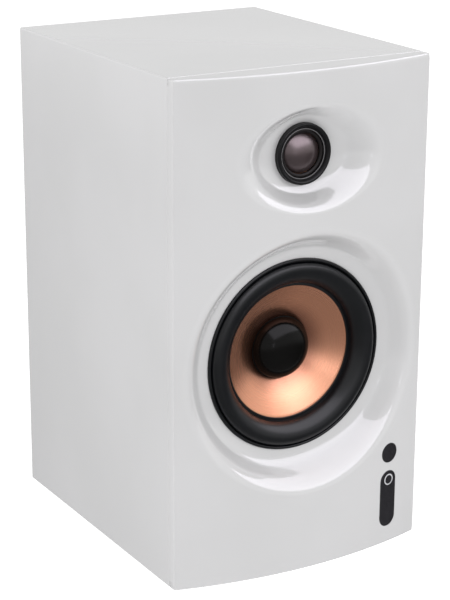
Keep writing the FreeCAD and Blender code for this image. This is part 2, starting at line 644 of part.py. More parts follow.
def bass_port():
    """A tube with a flared mouth and a flange that seats on the back."""
    turned_part("bass_port", "port_height", [
        ("port_bore", "port_front + 3", "-3.2"), ("port_bore + 3", "port_front"),
        ("port_bore + 4.4", "port_front"),
        ("port_bore + 2", "port_front + 6"), ("port_bore + 2", "cab_depth - 14", "22"),
        ("port_hole - 0.3", "cab_depth - 0.2"), ("port_hole - 0.3", "cab_depth"),
        ("port_flange", "cab_depth"),
        ("port_flange", "cab_depth + 0.8"), ("port_flange - 1", "cab_depth + 1.8"),
        ("port_mouth", "cab_depth + 1.8", "-19"), ("port_bore", "cab_depth - 13")])


def amp_plate():
    body = sub_part("amp_plate")
    board = extrude(body, "plate_sheet", "Y", "cab_depth", PLATE_FACE,
                    rect("-plate_half_width", "plate_half_width", "plate_low", "plate_high"))
    dress(body, "plate_corners", "Fillet", board, value("plate_corner"),
          lambda edge: runs_along(edge, Vector(0, 1, 0)))

    def opening(name, draw):
        extrude(body, name, "Y", "cab_depth", PLATE_FACE, draw, cut=True)

    def rect_about(across, height, half_width, half_height):
        return rect(f"{across} - {half_width}", f"{across} + {half_width}", f"{height} - {half_height}",
                    f"{height} + {half_height}")

    opening("plate_screw_holes", discs(PLATE_SCREWS, "shank_radius + 0.4"))
    opening("plate_knob_holes", discs(KNOB_SPOTS, "shaft_radius + 0.8"))
    opening("plate_rca_holes", discs(RCA_SPOTS, "rca_radius + 0.1"))
    opening("plate_aux_hole", discs([("aux_across", "rca_height")], "3.1"))
    opening("plate_block_hole", rect("3 - block_half_width", "block_half_width - 3", "block_height - 14",
                                     "block_height + 16"))
    opening("plate_inlet_hole", rect_about("inlet_across", "power_height", 10.5, 6.5))
    opening("plate_switch_hole", rect_about("switch_across", "power_height", 6.8, 11.5))


def amp_plate_screws():
    body = sub_part("amp_plate_screws")
    extrude(body, "plate_shanks", "Y", "cab_depth - 8", PLATE_FACE, discs(PLATE_SCREWS, "shank_radius"))
    heads = extrude(body, "plate_heads", "Y", PLATE_FACE, "cab_depth + plate_thick + 1.7",
                    discs(PLATE_SCREWS, "2.6"))
    rim = value("cab_depth + plate_thick + 1.6")
    dress(body, "plate_head_edges", "Fillet", heads, 0.7, lambda edge: edge.BoundBox.YMin > rim)


def tone_pots():
    """The potentiometers behind the two tone knobs, each with a bored bush for its shaft."""
    body = sub_part("tone_pots")
    low = "knob_height - 8"
    high = "knob_height + 8"
    for number, side in enumerate(("-knob_across", "knob_across")):
        extrude(body, f"pot_case_{number}", "Y", "cab_depth - 12", "cab_depth - 4",
                rect(f"{side} - 8", f"{side} + 8", low, high))
    extrude(body, "pot_bushes", "Y", "cab_depth - 4", "cab_depth - 0.5",
            discs(KNOB_SPOTS, "shaft_radius + 1.5"))
    extrude(body, "pot_bores", "Y", "cab_depth - 11", "cab_depth", discs(KNOB_SPOTS, "shaft_radius + 0.05"),
            cut=True)


def tone_knob(name, across):
    """A gripped knob with a pointer line, on the shaft that enters its potentiometer."""
    body = sub_part(name, across=across, height="knob_height")
    turn(body, name + "_turn", [
        ("0", "cab_depth - 10.5"), ("shaft_radius", "cab_depth - 10.5"),
        ("shaft_radius", f"{PLATE_FACE} + 1"),
        ("knob_radius", f"{PLATE_FACE} + 1"), ("knob_radius", "back_reach - 1"),
        ("knob_radius - 1", "back_reach"), ("0", "back_reach")])
    grip = extrude(body, name + "_grip", "Y", f"{PLATE_FACE} + 3", "back_reach",
                   discs([("0", "knob_radius + 0.35")], "0.9"), cut=True)
    around(body, name + "_grips", grip, KNOB_GRIPS)
    extrude(body, name + "_pointer", "Y", "back_reach - 0.5", "back_reach",
            rect("-0.5", "0.5", "knob_radius - 5", "knob_radius - 1.4"), cut=True)


def rca_jacks():
    """Two line inputs: metal shells with a rolled base, and the insulators that hold the centre contacts."""
    shells = sub_part("rca_shells")
    extrude(shells, "rca_barrels", "Y", "cab_depth - 6", f"{PLATE_FACE} + 9.5",
            discs(RCA_SPOTS, "rca_radius"))
    extrude(shells, "rca_collars", "Y", PLATE_FACE, f"{PLATE_FACE} + 1.2",
            discs(RCA_SPOTS, "rca_radius + 1.6"))
    extrude(shells, "rca_cups", "Y", "cab_depth - 4", f"{PLATE_FACE} + 10",
            discs(RCA_SPOTS, "rca_radius - 0.5"), cut=True)
    inserts = sub_part("rca_inserts")
    extrude(inserts, "rca_cores", "Y", "cab_depth - 4", f"{PLATE_FACE} + 8.5",
            discs(RCA_SPOTS, "rca_radius - 0.5"))
    extrude(inserts, "rca_contacts", "Y", PLATE_FACE, f"{PLATE_FACE} + 8.5", discs(RCA_SPOTS, "1.65"),
            cut=True)


def aux_jack():
    body = sub_part("aux_jack")
    extrude(body, "aux_case", "Y", "cab_depth - 12", "cab_depth - 0.5",
            rect("aux_across - 5", "aux_across + 5", "rca_height - 5", "rca_height + 5"))
    spot = [("aux_across", "rca_height")]
    extrude(body, "aux_nose", "Y", "cab_depth - 0.5", "aux_reach", discs(spot, "3"))
    extrude(body, "aux_nut", "Y", PLATE_FACE, f"{PLATE_FACE} + 1.8", discs(spot, "5"))
    extrude(body, "aux_socket", "Y", "aux_reach - 14", "aux_reach", discs(spot, "aux_bore"), cut=True)


def terminal_block():
    """The spring-clip outlet to the second speaker: two recesses with pin holes, and two wire holes."""
    body = sub_part("terminal_block")
    back = f"{PLATE_FACE} + 3"
    extrude(body, "block_box", "Y", "cab_depth - 12", PLATE_FACE,
            rect("3.2 - block_half_width", "block_half_width - 3.2", "block_height - 13.8",
                 "block_height + 13.8"))
    face = extrude(body, "block_face", "Y", PLATE_FACE, back,
                   rect("-block_half_width", "block_half_width", "block_height - 17", "block_height + 17"))
    corner_at = value("block_half_width") - 1
    dress(body, "block_corners", "Fillet", face, 2.0,
          lambda edge: runs_along(edge, Vector(0, 1, 0)) and abs(edge.BoundBox.XMax) > corner_at)
    sides = ("-lever_across", "lever_across")
    for number, side in enumerate(sides):
        extrude(body, f"lever_recess_{number}", "Y", "cab_depth - 8", back,
                rect(f"{side} - lever_half - 0.5", f"{side} + lever_half + 0.5",
                     "lever_pivot_height - 17.5", "lever_pivot_height + 2.5"), cut=True)
    reach = "lever_across + lever_half + 1.2"
    extrude(body, "lever_pin_holes", "X", f"-({reach})", reach,
            discs([("lever_pivot_depth", "lever_pivot_height")], "hinge_pin + pin_play"), cut=True)
    extrude(body, "wire_holes", "Y", "cab_depth - 8", back,
            discs([(side, "lever_pivot_height - 22.5") for side in sides], "1.8"), cut=True)


def terminal_lever(name, across):
    """A clip lever that turns on the pins at its top."""
    body = sub_part(name, across=across, height="lever_pivot_height")
    depth = "lever_pivot_depth"
    round_end = "-lever_round"
    extrude(body, name + "_tab", "X", "-lever_half", "lever_half", path([
        (f"{depth} - 2", "-16"), (f"{depth} + 4.5", "-16", "-1.6"), (f"{depth} + 6", "-14.5"),
        (f"{depth} + 3.2", "-3"), (f"{depth} + lever_round", "0", round_end),
        (depth, "lever_round", round_end), (f"{depth} - lever_round", "0")]))
    extrude(body, name + "_pins", "X", "-lever_half - 0.9", "lever_half + 0.9",
            discs([(depth, "0")], "hinge_pin"))


def power_inlet():
    """A two-pin mains inlet."""
    body = sub_part("mains_inlet")
    extrude(body, "inlet_case", "Y", "cab_depth - 14", PLATE_FACE,
            rect("inlet_across - 10.3", "inlet_across + 10.3", "power_height - 6.3", "power_height + 6.3"))
    bezel = extrude(body, "inlet_bezel", "Y", PLATE_FACE, f"{PLATE_FACE} + 1.5",
                    rect("inlet_across - 12.5", "inlet_across + 12.5", "power_height - 8.5",
                         "power_height + 8.5"))
    dress(body, "inlet_corners", "Fillet", bezel, 1.5,
          lambda edge: runs_along(edge, Vector(0, 1, 0)) and edge.Length < 2)
    extrude(body, "inlet_well", "Y", "cab_depth - 10", f"{PLATE_FACE} + 1.5",
            slot("inlet_across", "power_height", "inlet_half_height", "inlet_half_width", upright=False),
            cut=True)
    spots = [(f"inlet_across {sign} pin_offset", "power_height") for sign in "-+"]
    extrude(body, "pin_passages", "Y", "cab_depth - 14", "cab_depth - 10", discs(spots, "pin_radius + 0.05"),
            cut=True)
    pins = sub_part("inlet_pins")
    shafts = extrude(pins, "pin_shafts", "Y", "cab_depth - 19", "cab_depth", discs(spots, "pin_radius"))
    tips = value("cab_depth") - TINY * 1000
    dress(pins, "pin_tips", "Fillet", shafts, 0.8, lambda edge: edge.BoundBox.YMin > tips)


def power_switch():
    """A rocker on pins in its frame. It rests with its upper end pressed."""
    frame = sub_part("switch_frame")
    extrude(frame, "switch_case", "Y", "cab_depth - 14", PLATE_FACE,
            rect("switch_across - 6.6", "switch_across + 6.6", "power_height - 11.3", "power_height + 11.3"))
    bezel = extrude(frame, "switch_bezel", "Y", PLATE_FACE, f"{PLATE_FACE} + 1.5",
                    rect("switch_across - 8.5", "switch_across + 8.5", "power_height - 13",
                         "power_height + 13"))
    dress(frame, "switch_corners", "Fillet", bezel, 1.5,
          lambda edge: runs_along(edge, Vector(0, 1, 0)) and edge.Length < 2)
    extrude(frame, "switch_well", "Y", "cab_depth - 8", f"{PLATE_FACE} + 1.5",
            rect("switch_across - 5.6", "switch_across + 5.6", "power_height - 9.6", "power_height + 9.6"),
            cut=True)
    extrude(frame, "rocker_pin_holes", "X", "switch_across - 6.2", "switch_across + 6.2",
            discs([("rocker_depth", "power_height")], "hinge_pin + pin_play"), cut=True)
    rocker = doc.addObject("PartDesign::Body", "mains_rocker")
    rocker.Label = "mains_rocker"
    extrude(rocker, "rocker_wedge", "X", "-5.2", "5.2", path([
        ("-4", "-5"), ("5.4", "-8"), ("6.6", "-7.4"), ("4.4", "0"), ("6.6", "7.4"), ("5.4", "8"),
        ("-4", "5")]))
    extrude(rocker, "rocker_pins", "X", "-6.1", "6.1", discs([("0", "0")], "hinge_pin"))
    rocker.setExpression("Placement.Base.x", linked("switch_across"))
    rocker.setExpression("Placement.Base.y", linked("front_y + rocker_depth"))
    rocker.setExpression("Placement.Base.z", linked("foot_height + power_height"))
    rocker.Placement.Rotation = Rotation(Vector(1, 0, 0), value("rocker_tilt"))
    rocker.setExpression("Placement.Rotation.Angle", linked("rocker_tilt"))
    parts.append(rocker)


def amplifier():
    """The amplifier card, its finned heatsink and two smoothing capacitors, and the toroidal transformer."""
    card = sub_part("amp_board")
    extrude(card, "amp_card", "Y", "board_level", "board_level + board_thick",
            rect("-48", "48", "34", "200"))
    heatsink = sub_part("amp_heatsink")
    half = HEATSINK["half_width"]
    pitch = 2 * half / HEATSINK["fins"]
    base = "board_level - 4"
    tips = "board_level - 28"
    corners = [(-half, base), (-half, "board_level"), (half, "board_level")]
    for number in range(HEATSINK["fins"]):
        right = half - number * pitch
        left = right - HEATSINK["fin"]
        corners += [(right, tips), (left, tips), (left, base), (right - pitch, base)]
    corners.pop()
    extrude(heatsink, "heatsink_comb", "Z", "142", "196", path(corners))
    cans = sub_part("filter_capacitors")
    tops = extrude(cans, "can_sleeves", "Y", "board_level - 34", "board_level",
                   discs([("-20", "110"), ("20", "110")], "11"))
    front = value("board_level - 33.9")
    dress(cans, "can_edges", "Fillet", tops, 1.2, lambda edge: edge.BoundBox.YMax < front)
    toroid = sub_part("mains_transformer")
    sketch = new_sketch(toroid, "toroid_sketch", "YZ_Plane")
    centre = "transformer_depth"
    outline(sketch, [
        (f"{centre} + transformer_bore", "wall + 6", "-6"), (f"{centre} + transformer_bore + 6", "wall"),
        (f"{centre} + transformer_radius - 6", "wall", "-6"), (f"{centre} + transformer_radius", "wall + 6"),
        (f"{centre} + transformer_radius", "wall + 24", "-6"),
        (f"{centre} + transformer_radius - 6", "wall + 30"),
        (f"{centre} + transformer_bore + 6", "wall + 30", "-6"),
        (f"{centre} + transformer_bore", "wall + 24")])
    upright = Part.LineSegment(Vector(value(centre), 0, 0), Vector(value(centre), 50, 0))
    axis = sketch.addGeometry(upright, True)
    tie_point(sketch, axis, 1, centre, "0")
    tie_point(sketch, axis, 2, centre, "50")
    ring = toroid.newObject("PartDesign::Revolution", "toroid_turn")
    ring.Profile = sketch
    ring.ReferenceAxis = (sketch, ["Axis0"])
    ring.Angle = 360


def check_model():
    """Stops if any object failed, any cut took nothing away, or any sub-part has no sound solid."""
    doc.recompute()
    for item in doc.Objects:
        if "Invalid" in item.State or "Error" in item.State:
            raise RuntimeError(f"{item.Name} failed: {item.State}")
        if item.TypeId in ("PartDesign::Pocket", "PartDesign::Groove", "PartDesign::SubtractiveLoft"):
            if item.Shape.Volume > item.BaseFeature.Shape.Volume - TINY:
                raise RuntimeError(f"{item.Name} cuts nothing")
    for item in parts:
        if item.Shape.isNull() or not item.Shape.isValid() or not item.Shape.Solids:
            raise RuntimeError(f"{item.Label} has no valid solid")


def export_parts():
    os.makedirs("parts", exist_ok=True)
    for item in parts:
        item.Shape.exportStep(f"parts/{item.Label}.step")


cabinet_panels()
back_panel()
front_baffle()
cabinet_brace()
acoustic_wadding()
rubber_feet()
ir_window()
touch_window()
standby_ring()
control_board()
ir_receiver()
woofer_basket()
woofer_frame_pieces()
woofer_screws()
woofer_surround()
woofer_cone()
woofer_dust_cap()
woofer_coil()
woofer_spider()
woofer_motor()
woofer_wiring()
tweeter_face()
tweeter_screws()
tweeter_diaphragm()
tweeter_motor()
bass_port()
amp_plate()
amp_plate_screws()
tone_pots()
tone_knob("bass_knob", "-knob_across")
tone_knob("treble_knob", "knob_across")
rca_jacks()
aux_jack()
terminal_block()
terminal_lever("terminal_lever_red", "lever_across")
terminal_lever("terminal_lever_black", "-lever_across")
power_inlet()
power_switch()
amplifier()
check_model()
export_parts()
print(len(parts), "parts written")
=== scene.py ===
import json
import math
import bmesh
import bpy
import numpy as np
from mathutils import Matrix, Vector


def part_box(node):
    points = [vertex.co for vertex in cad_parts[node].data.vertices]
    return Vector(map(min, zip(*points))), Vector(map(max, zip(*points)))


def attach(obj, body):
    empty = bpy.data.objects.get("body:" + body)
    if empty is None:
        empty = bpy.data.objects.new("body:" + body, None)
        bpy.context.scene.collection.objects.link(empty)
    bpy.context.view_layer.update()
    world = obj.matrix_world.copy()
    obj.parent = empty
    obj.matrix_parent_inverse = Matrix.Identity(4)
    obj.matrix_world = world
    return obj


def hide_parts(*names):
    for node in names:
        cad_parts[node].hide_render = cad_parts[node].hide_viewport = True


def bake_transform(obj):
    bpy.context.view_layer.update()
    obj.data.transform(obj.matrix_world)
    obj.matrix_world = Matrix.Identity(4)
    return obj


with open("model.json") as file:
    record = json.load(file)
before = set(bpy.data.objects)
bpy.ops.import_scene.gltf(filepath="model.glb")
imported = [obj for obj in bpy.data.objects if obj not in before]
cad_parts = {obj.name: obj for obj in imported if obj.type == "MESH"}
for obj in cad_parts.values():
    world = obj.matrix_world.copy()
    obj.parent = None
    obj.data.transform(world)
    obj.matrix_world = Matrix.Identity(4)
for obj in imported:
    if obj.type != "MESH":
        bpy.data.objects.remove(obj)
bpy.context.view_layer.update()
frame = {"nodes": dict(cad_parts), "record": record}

# Shapes are worked out in millimetres as (across, depth, height): depth counts back from the cabinet's front
# vertical corners and height up from its base. spot() turns them into the frame's metres.
mm = 0.001
cabinet = {
    "baffleEdge": 6.7,       # visible thickness of the baffle at its ends
    "tongueDepth": 20.0,     # how far the baffle's tongue enters the cabinet
    "tongueGap": 0.2,
    "frontBulge": 13.2,      # how far the bowed front stands ahead of its corners
    "wall": 10.0,
    "edgeRound": 1.2, "backRound": 0.9, "cornerSteps": 7,
    "seamChamfer": 0.35, "seamSlope": 1.6,     # its width, and its depth as a share of that
}
leftLow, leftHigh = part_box("left_panel")
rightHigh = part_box("right_panel")[1]
halfWidth = rightHigh.x / mm
baseZ = leftLow.z
height = (leftHigh.z - leftLow.z) / mm
cornerY = leftLow.y - cabinet["baffleEdge"] * mm
backDepth = (leftHigh.y - cornerY) / mm


def middle(node):
    low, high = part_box(node)
    return (low + high) / 2


def placeOf(node):
    # a node's middle as (across, height)
    centre = middle(node)
    return centre.x / mm, (centre.z - baseZ) / mm


def spot(points):
    # (across, depth, height) in millimetres to the frame's metres
    points = np.asarray(points, float)
    return points * mm + np.array([0.0, cornerY, baseZ])


wooferHeight = placeOf("woofer_trim_ring")[1]
tweeterHeight = placeOf("tweeter_face_ring")[1]

# ---------- meshes


def linked(name, mesh, sharp):
    # puts a mesh in the scene, smooth but for edges sharper than an angle
    mesh.shade_smooth()
    mesh.set_sharp_from_angle(angle=math.radians(sharp))
    made = bpy.data.objects.new(name, mesh)
    bpy.context.scene.collection.objects.link(made)
    return made


def makeObject(name, points, faces, sharp=35):
    # welds seams and poles and points the faces outwards
    mesh = bpy.data.meshes.new(name)
    mesh.from_pydata(np.asarray(points, float).reshape(-1, 3).tolist(), [], np.asarray(faces).tolist())
    work = bmesh.new()
    work.from_mesh(mesh)
    bmesh.ops.remove_doubles(work, verts=work.verts, dist=2e-7)
    bmesh.ops.dissolve_degenerate(work, edges=work.edges, dist=1e-8)
    bmesh.ops.recalc_face_normals(work, faces=work.faces)
    work.to_mesh(mesh)
    work.free()
    return linked(name, mesh, sharp)


def gridFaces(rows, cols, wrapRows=False, wrapCols=False, start=0):
    # quads of a rows x cols grid of points, closed on itself in either direction if asked
    r = np.arange(rows if wrapRows else rows - 1)
    c = np.arange(cols if wrapCols else cols - 1)
    r, c = np.meshgrid(r, c, indexing="ij")
    right = (c + 1) % cols
    below = (r + 1) % rows
    quads = np.stack([r * cols + c, r * cols + right, below * cols + right, below * cols + c], axis=-1)
    return quads.reshape(-1, 4) + start


def gridObject(name, rows, sharp=30, wrapRows=False):
    # one grid of points whose columns close on themselves
    rows = np.asarray(rows, float)
    return makeObject(name, spot(rows), gridFaces(*rows.shape[:2], wrapRows, wrapCols=True), sharp)


def sheetsObject(name, sheets, sharp):
    # several such grids in one mesh
    points, faces, count = [], [], 0
    for sheet in sheets:
        faces.append(gridFaces(*sheet.shape[:2], wrapCols=True, start=count))
        points.append(sheet.reshape(-1, 3))
        count += len(points[-1])
    return makeObject(name, spot(np.concatenate(points)), np.concatenate(faces), sharp)


def fullTurn(steps):
    return np.linspace(0, 2 * math.pi, steps, endpoint=False)


def lathe(name, profile, across, high, steps=160, wobble=None, sharp=35):
    # a closed (radius, depth) outline carried round the Y direction through (across, high)
    profile = np.asarray(profile, float)
    turn = fullTurn(steps)
    radius = np.repeat(profile[:, :1], steps, axis=1)
    depth = np.repeat(profile[:, 1:], steps, axis=1)
    if wobble is not None:
        radius, depth = wobble(radius, depth, turn[None, :])
    points = np.stack([across + radius * np.cos(turn), depth, high + radius * np.sin(turn)], axis=-1)
    return gridObject(name, points, sharp, wrapRows=True)


def rounded(corners, steps=5):
    # an outline of (a, b, radius) corners with each corner replaced by an arc tangent to its two sides
    corners = [np.array(corner, float) for corner in corners]
    nearlyStraight = 1.56     # half the angle at a corner that hardly turns, in radians
    line = []
    for number, corner in enumerate(corners):
        here = corner[:2]
        radius = corner[2] if len(corner) > 2 else 0.0
        before = corners[number - 1][:2] - here
        after = corners[(number + 1) % len(corners)][:2] - here
        before = before / np.linalg.norm(before)
        after = after / np.linalg.norm(after)
        half = math.acos(np.clip(before @ after, -1, 1)) / 2
        if radius <= 0 or half > nearlyStraight:
            line.append(here)
            continue
        bisector = (before + after) / np.linalg.norm(before + after)
        centre = here + bisector * radius / math.sin(half)
        first = here + before * radius / math.tan(half) - centre
        last = here + after * radius / math.tan(half) - centre
        for share in np.linspace(0, 1, steps):
            swing = first * (1 - share) + last * share
            line.append(centre + swing / np.linalg.norm(swing) * radius)
    return np.array(line)


def arcLine(start, end, rise, count):
    # points along a circular arc from start to end that bulges by rise to the left of travel
    start = np.array(start, float)
    end = np.array(end, float)
    chord = end - start
    length = np.linalg.norm(chord)
    left = np.array([-chord[1], chord[0]]) / length
    radius = (length ** 2 / 4 + rise ** 2) / (2 * abs(rise))
    reach = math.asin(min(length / 2 / radius, 1.0))
    if abs(rise) > length / 2:
        reach = math.pi - reach
    swing = np.linspace(-reach, reach, count)
    sense = math.copysign(1.0, rise)
    along = (np.sin(swing) / (2 * math.sin(reach)) + 0.5)[:, None] * chord
    lift = ((np.cos(swing) - math.cos(reach)) * radius * sense)[:, None] * left
    return start + along + lift


def softened(node, width, crisp=40, flat=0.8):
    # a copy of a CAD node, merged and with its crisp edges rounded
    mesh = frame["nodes"][node].data.copy()
    mesh.materials.clear()
    work = bmesh.new()
    work.from_mesh(mesh)
    bmesh.ops.remove_doubles(work, verts=work.verts, dist=1e-6)
    bmesh.ops.dissolve_limit(work, angle_limit=math.radians(flat), verts=work.verts, edges=work.edges)
    work.to_mesh(mesh)
    work.free()
    made = linked(node + "_soft", mesh, crisp)
    bevel = made.modifiers.new("edges", "BEVEL")
    bevel.width = width * mm
    bevel.segments = 2
    bevel.limit_method = "ANGLE"
    bevel.angle_limit = math.radians(crisp)
    bevel.harden_normals = True
    bevel.use_clamp_overlap = True
    return made


# ---------- shader maths


class Wire:
    # a socket that can be used in sums; each operator adds the Math node that does it
    def __init__(self, shader, socket):
        self.shader = shader
        self.socket = socket

    def maths(self, operation, *terms):
        return self.shader.add("ShaderNodeMath", {"operation": operation}, dict(enumerate(terms)))

    def __add__(self, other):
        return self.maths("ADD", self, other)

    def __sub__(self, other):
        return self.maths("SUBTRACT", self, other)

    def __rsub__(self, other):
        return self.maths("SUBTRACT", other, self)

    def __mul__(self, other):
        return self.maths("MULTIPLY", self, other)

    def __pow__(self, other):
        return self.maths("POWER", self, other)

    __radd__ = __add__      # sums and products are the same either way round
    __rmul__ = __mul__

    def sine(self):
        return self.maths("SINE", self)

    def size(self):
        return self.maths("ABSOLUTE", self)

    def fade(self, low, high, toLow=0.0, toHigh=1.0):
        # a smooth step between two values, clamped outside them
        return self.shader.add("ShaderNodeMapRange", {"interpolation_type": "SMOOTHSTEP"},
                               {0: self, 1: low, 2: high, 3: toLow, 4: toHigh})


class Shader:
    # one material; constants go on its Principled sockets and what varies is wired in
    def __init__(self, name, **settings):
        self.material = bpy.data.materials.new(name)
        self.material.use_nodes = True
        self.tree = self.material.node_tree
        self.surface = self.tree.nodes["Principled BSDF"]
        self.set(**settings)

    def add(self, kind, settings=None, inputs=None, out=0):
        node = self.tree.nodes.new(kind)
        for key, setting in (settings or {}).items():
            setattr(node, key, setting)
        for key, value in (inputs or {}).items():
            self.join(node.inputs[key], value)
        return Wire(self, node.outputs[out])

    def join(self, socket, value):
        if isinstance(value, Wire):
            self.tree.links.new(value.socket, socket)
        else:
            socket.default_value = value

    def set(self, **settings):
        # coatWeight stands for the socket Coat Weight, and so on
        renamed = {"Ior": "IOR", "Coat Ior": "Coat IOR", "Specular Level": "Specular IOR Level"}
        for key, value in settings.items():
            words = "".join(" " + letter if letter.isupper() else letter for letter in key).title()
            socket = self.surface.inputs[renamed.get(words, words)]
            if isinstance(value, tuple) and socket.type == "RGBA":
                value = (*value, 1.0)
            self.join(socket, value)

    def place(self, scale=(1, 1, 1), shift=(0, 0, 0)):
        # Object coordinates, shifted and then scaled
        where = self.add("ShaderNodeTexCoord", out="Object")
        moved = self.add("ShaderNodeVectorMath", {"operation": "SUBTRACT"}, {0: where, 1: shift})
        return self.add("ShaderNodeVectorMath", {"operation": "MULTIPLY"}, {0: moved, 1: scale})

    def axes(self, vector):
        split = self.add("ShaderNodeSeparateXYZ", inputs={0: vector})
        return [Wire(self, split.socket.node.outputs[number]) for number in range(3)]

    def noise(self, vector, scale, detail=2.0, rough=0.5):
        return self.add("ShaderNodeTexNoise", inputs={"Vector": vector, "Scale": scale, "Detail": detail,
                                                      "Roughness": rough})

    def blend(self, share, first, second):
        paints = [(*paint, 1.0) if isinstance(paint, tuple) else paint for paint in (first, second)]
        mixed = self.add("ShaderNodeMix", {"data_type": "RGBA"}, {0: share, 6: paints[0], 7: paints[1]})
        return Wire(self, mixed.socket.node.outputs[2])

    def bump(self, level, strength, distance=1.0):
        return self.add("ShaderNodeBump", inputs={"Height": level, "Strength": strength,
                                                  "Distance": distance * mm})

    def radius(self, centre):
        # distance from the Y direction through a centre, in metres
        across, _, high = self.axes(self.place(shift=tuple(centre)))
        return (across * across + high * high) ** 0.5

    def rings(self, radius, perMetre):
        return self.add("ShaderNodeTexNoise", {"noise_dimensions": "1D"},
                        {"W": radius * perMetre, "Scale": 1.0, "Detail": 3.0, "Roughness": 0.6})

    def weave(self, pitch):
        # two crossed sets of threads: the sine across, the sine up
        across, _, high = self.axes(self.place(scale=(math.pi / (pitch * mm),) * 3))
        return across.sine(), high.sine()

    def drift(self, scale, first, second, low=0.3, high=0.7, detail=3.0):
        # a colour that wanders between two with slow noise, and the noise itself
        cloud = self.noise(self.place(), scale, detail)
        self.set(baseColor=self.blend(cloud.fade(low, high), first, second))
        return cloud


def lacquer():
    # gloss white paint over smooth board: faint orange peel, and a tone that drifts very slightly
    shader = Shader("whiteLacquer", roughness=0.22, coatWeight=1.0, coatRoughness=0.02, coatIor=1.6)
    shader.drift(9.0, (0.650, 0.648, 0.654), (0.674, 0.671, 0.679), 0.35, 0.65)
    peel = shader.noise(shader.place(), 420.0)
    shader.set(normal=shader.bump(peel, 0.05, 0.12))
    return shader.material


def moulded(name, paint, rough=0.42, grain=1.0):
    # injection-moulded plastic with a fine spark-eroded grain
    shader = Shader(name, specularLevel=0.5)
    grains = shader.noise(shader.place(), 2600.0, 2.0, 0.6)
    shader.drift(60.0, paint, tuple(channel * 1.25 + 0.004 for channel in paint))
    shader.set(roughness=grains * 0.16 + (rough - 0.08))
    shader.set(normal=shader.bump(grains, 0.22 * grain, 0.06))
    return shader.material


def rubber(name, paint, rough=0.38, dust=1.0, shine=0.55):
    # satin rubber with a bloom that varies slowly and a very fine skin
    shader = Shader(name, specularLevel=shine)
    skin = shader.noise(shader.place(), 1500.0, 3.0, 0.6)
    dusty = tuple(channel * (1 + 0.5 * dust) + 0.003 * dust for channel in paint)
    bloom = shader.drift(45.0, paint, dusty, 0.35, 0.7, 4.0)
    shader.set(roughness=bloom * 0.12 + skin * 0.06 + (rough - 0.09))
    shader.set(normal=shader.bump(skin, 0.10, 0.05))
    return shader.material


def metal(name, paint, rough=0.3, grain=(900.0, 30.0, 900.0), depth=0.12):
    # bare or plated metal with a directional grain
    shader = Shader(name, metallic=1.0)
    lines = shader.noise(shader.place(scale=grain), 1.0, 3.0, 0.6)
    shader.drift(40.0, paint, tuple(channel * 0.82 for channel in paint))
    shader.set(roughness=lines * 0.2 + (rough - 0.1))
    shader.set(normal=shader.bump(lines, depth, 0.03))
    return shader.material


def turnedMetal(name, paint, rough, centre, pitch=0.35, depth=0.06):
    # metal with fine rings left by turning or spinning about a centre
    shader = Shader(name, metallic=1.0)
    rings = shader.rings(shader.radius(centre), 1.0 / (pitch * mm))
    cloud = shader.drift(35.0, paint, tuple(channel * 0.86 for channel in paint))
    shader.set(roughness=rings * 0.1 + cloud * 0.05 + (rough - 0.08))
    shader.set(normal=shader.bump(rings, depth, 0.02))
    return shader.material


def woven(name, paint, gap, pitch=0.5, rough=0.75, sheen=0.3):
    # plain weave: two crossed sets of threads, each rising over the other in turn
    shader = Shader(name, sheenWeight=sheen, sheenRoughness=0.4)
    warp, weft = shader.weave(pitch)
    over = (warp * weft).fade(-0.3, 0.3)
    thread = warp.size() * over + weft.size() * (1 - over)
    shader.set(baseColor=shader.blend(thread, gap, paint))
    shader.set(roughness=rough - thread * 0.1)
    shader.set(normal=shader.bump(thread, 0.25, 0.08))
    return shader.material


def fibres(name, paint, shade, scale=400.0):
    # a tangle of loose fibres, from noise stretched by noise
    shader = Shader(name, roughness=0.9, sheenWeight=0.4)
    where = shader.place()
    bend = shader.add("ShaderNodeTexNoise", inputs={"Vector": where, "Scale": 60.0}, out="Color")
    pushed = shader.add("ShaderNodeVectorMath", {"operation": "MULTIPLY_ADD"},
                        {0: bend, 1: (0.02, 0.02, 0.02), 2: where})
    strands = shader.noise(pushed, scale, 5.0, 0.7)
    shader.set(baseColor=shader.blend(strands.fade(0.3, 0.7), shade, paint))
    shader.set(normal=shader.bump(strands, 0.6, 1.0))
    return shader.material


def boardGreen():
    # solder mask over copper tracks that run in straight lanes, with a scatter of pads
    shader = Shader("circuitBoard", roughness=0.35)
    lanes = shader.add("ShaderNodeTexBrick", {"offset": 0.37, "squash": 1.0},
                       {"Vector": shader.place(scale=(180.0, 1.0, 60.0)), "Scale": 1.0, "Mortar Size": 0.02})
    track = Wire(shader, lanes.socket.node.outputs["Fac"])
    pads = shader.add("ShaderNodeTexVoronoi", inputs={"Vector": shader.place(), "Scale": 220.0})
    pad = 1 - pads.fade(0.10, 0.16)
    green = shader.blend(track, (0.012, 0.11, 0.04), (0.03, 0.20, 0.08))
    shader.set(baseColor=shader.blend(pad, green, (0.62, 0.60, 0.55)))
    shader.set(normal=shader.bump(track + pad, 0.2, 0.1))
    return shader.material


def plywood():
    # rotary-cut grain on the faces and thin plies across the edges
    shader = Shader("plywood", roughness=0.6)
    grain = shader.noise(shader.place(scale=(60.0, 60.0, 500.0)), 1.0, 5.0, 0.65)
    _, depth, _ = shader.axes(shader.place(scale=(1.0, math.pi / (1.5 * mm), 1.0)))
    ply = depth.sine().fade(-0.2, 0.2)
    wood = shader.blend(grain.fade(0.3, 0.7), (0.55, 0.40, 0.24), (0.74, 0.60, 0.42))
    shader.set(baseColor=shader.blend(ply * 0.35, wood, (0.42, 0.28, 0.16)))
    shader.set(normal=shader.bump(grain, 0.2, 0.2))
    return shader.material


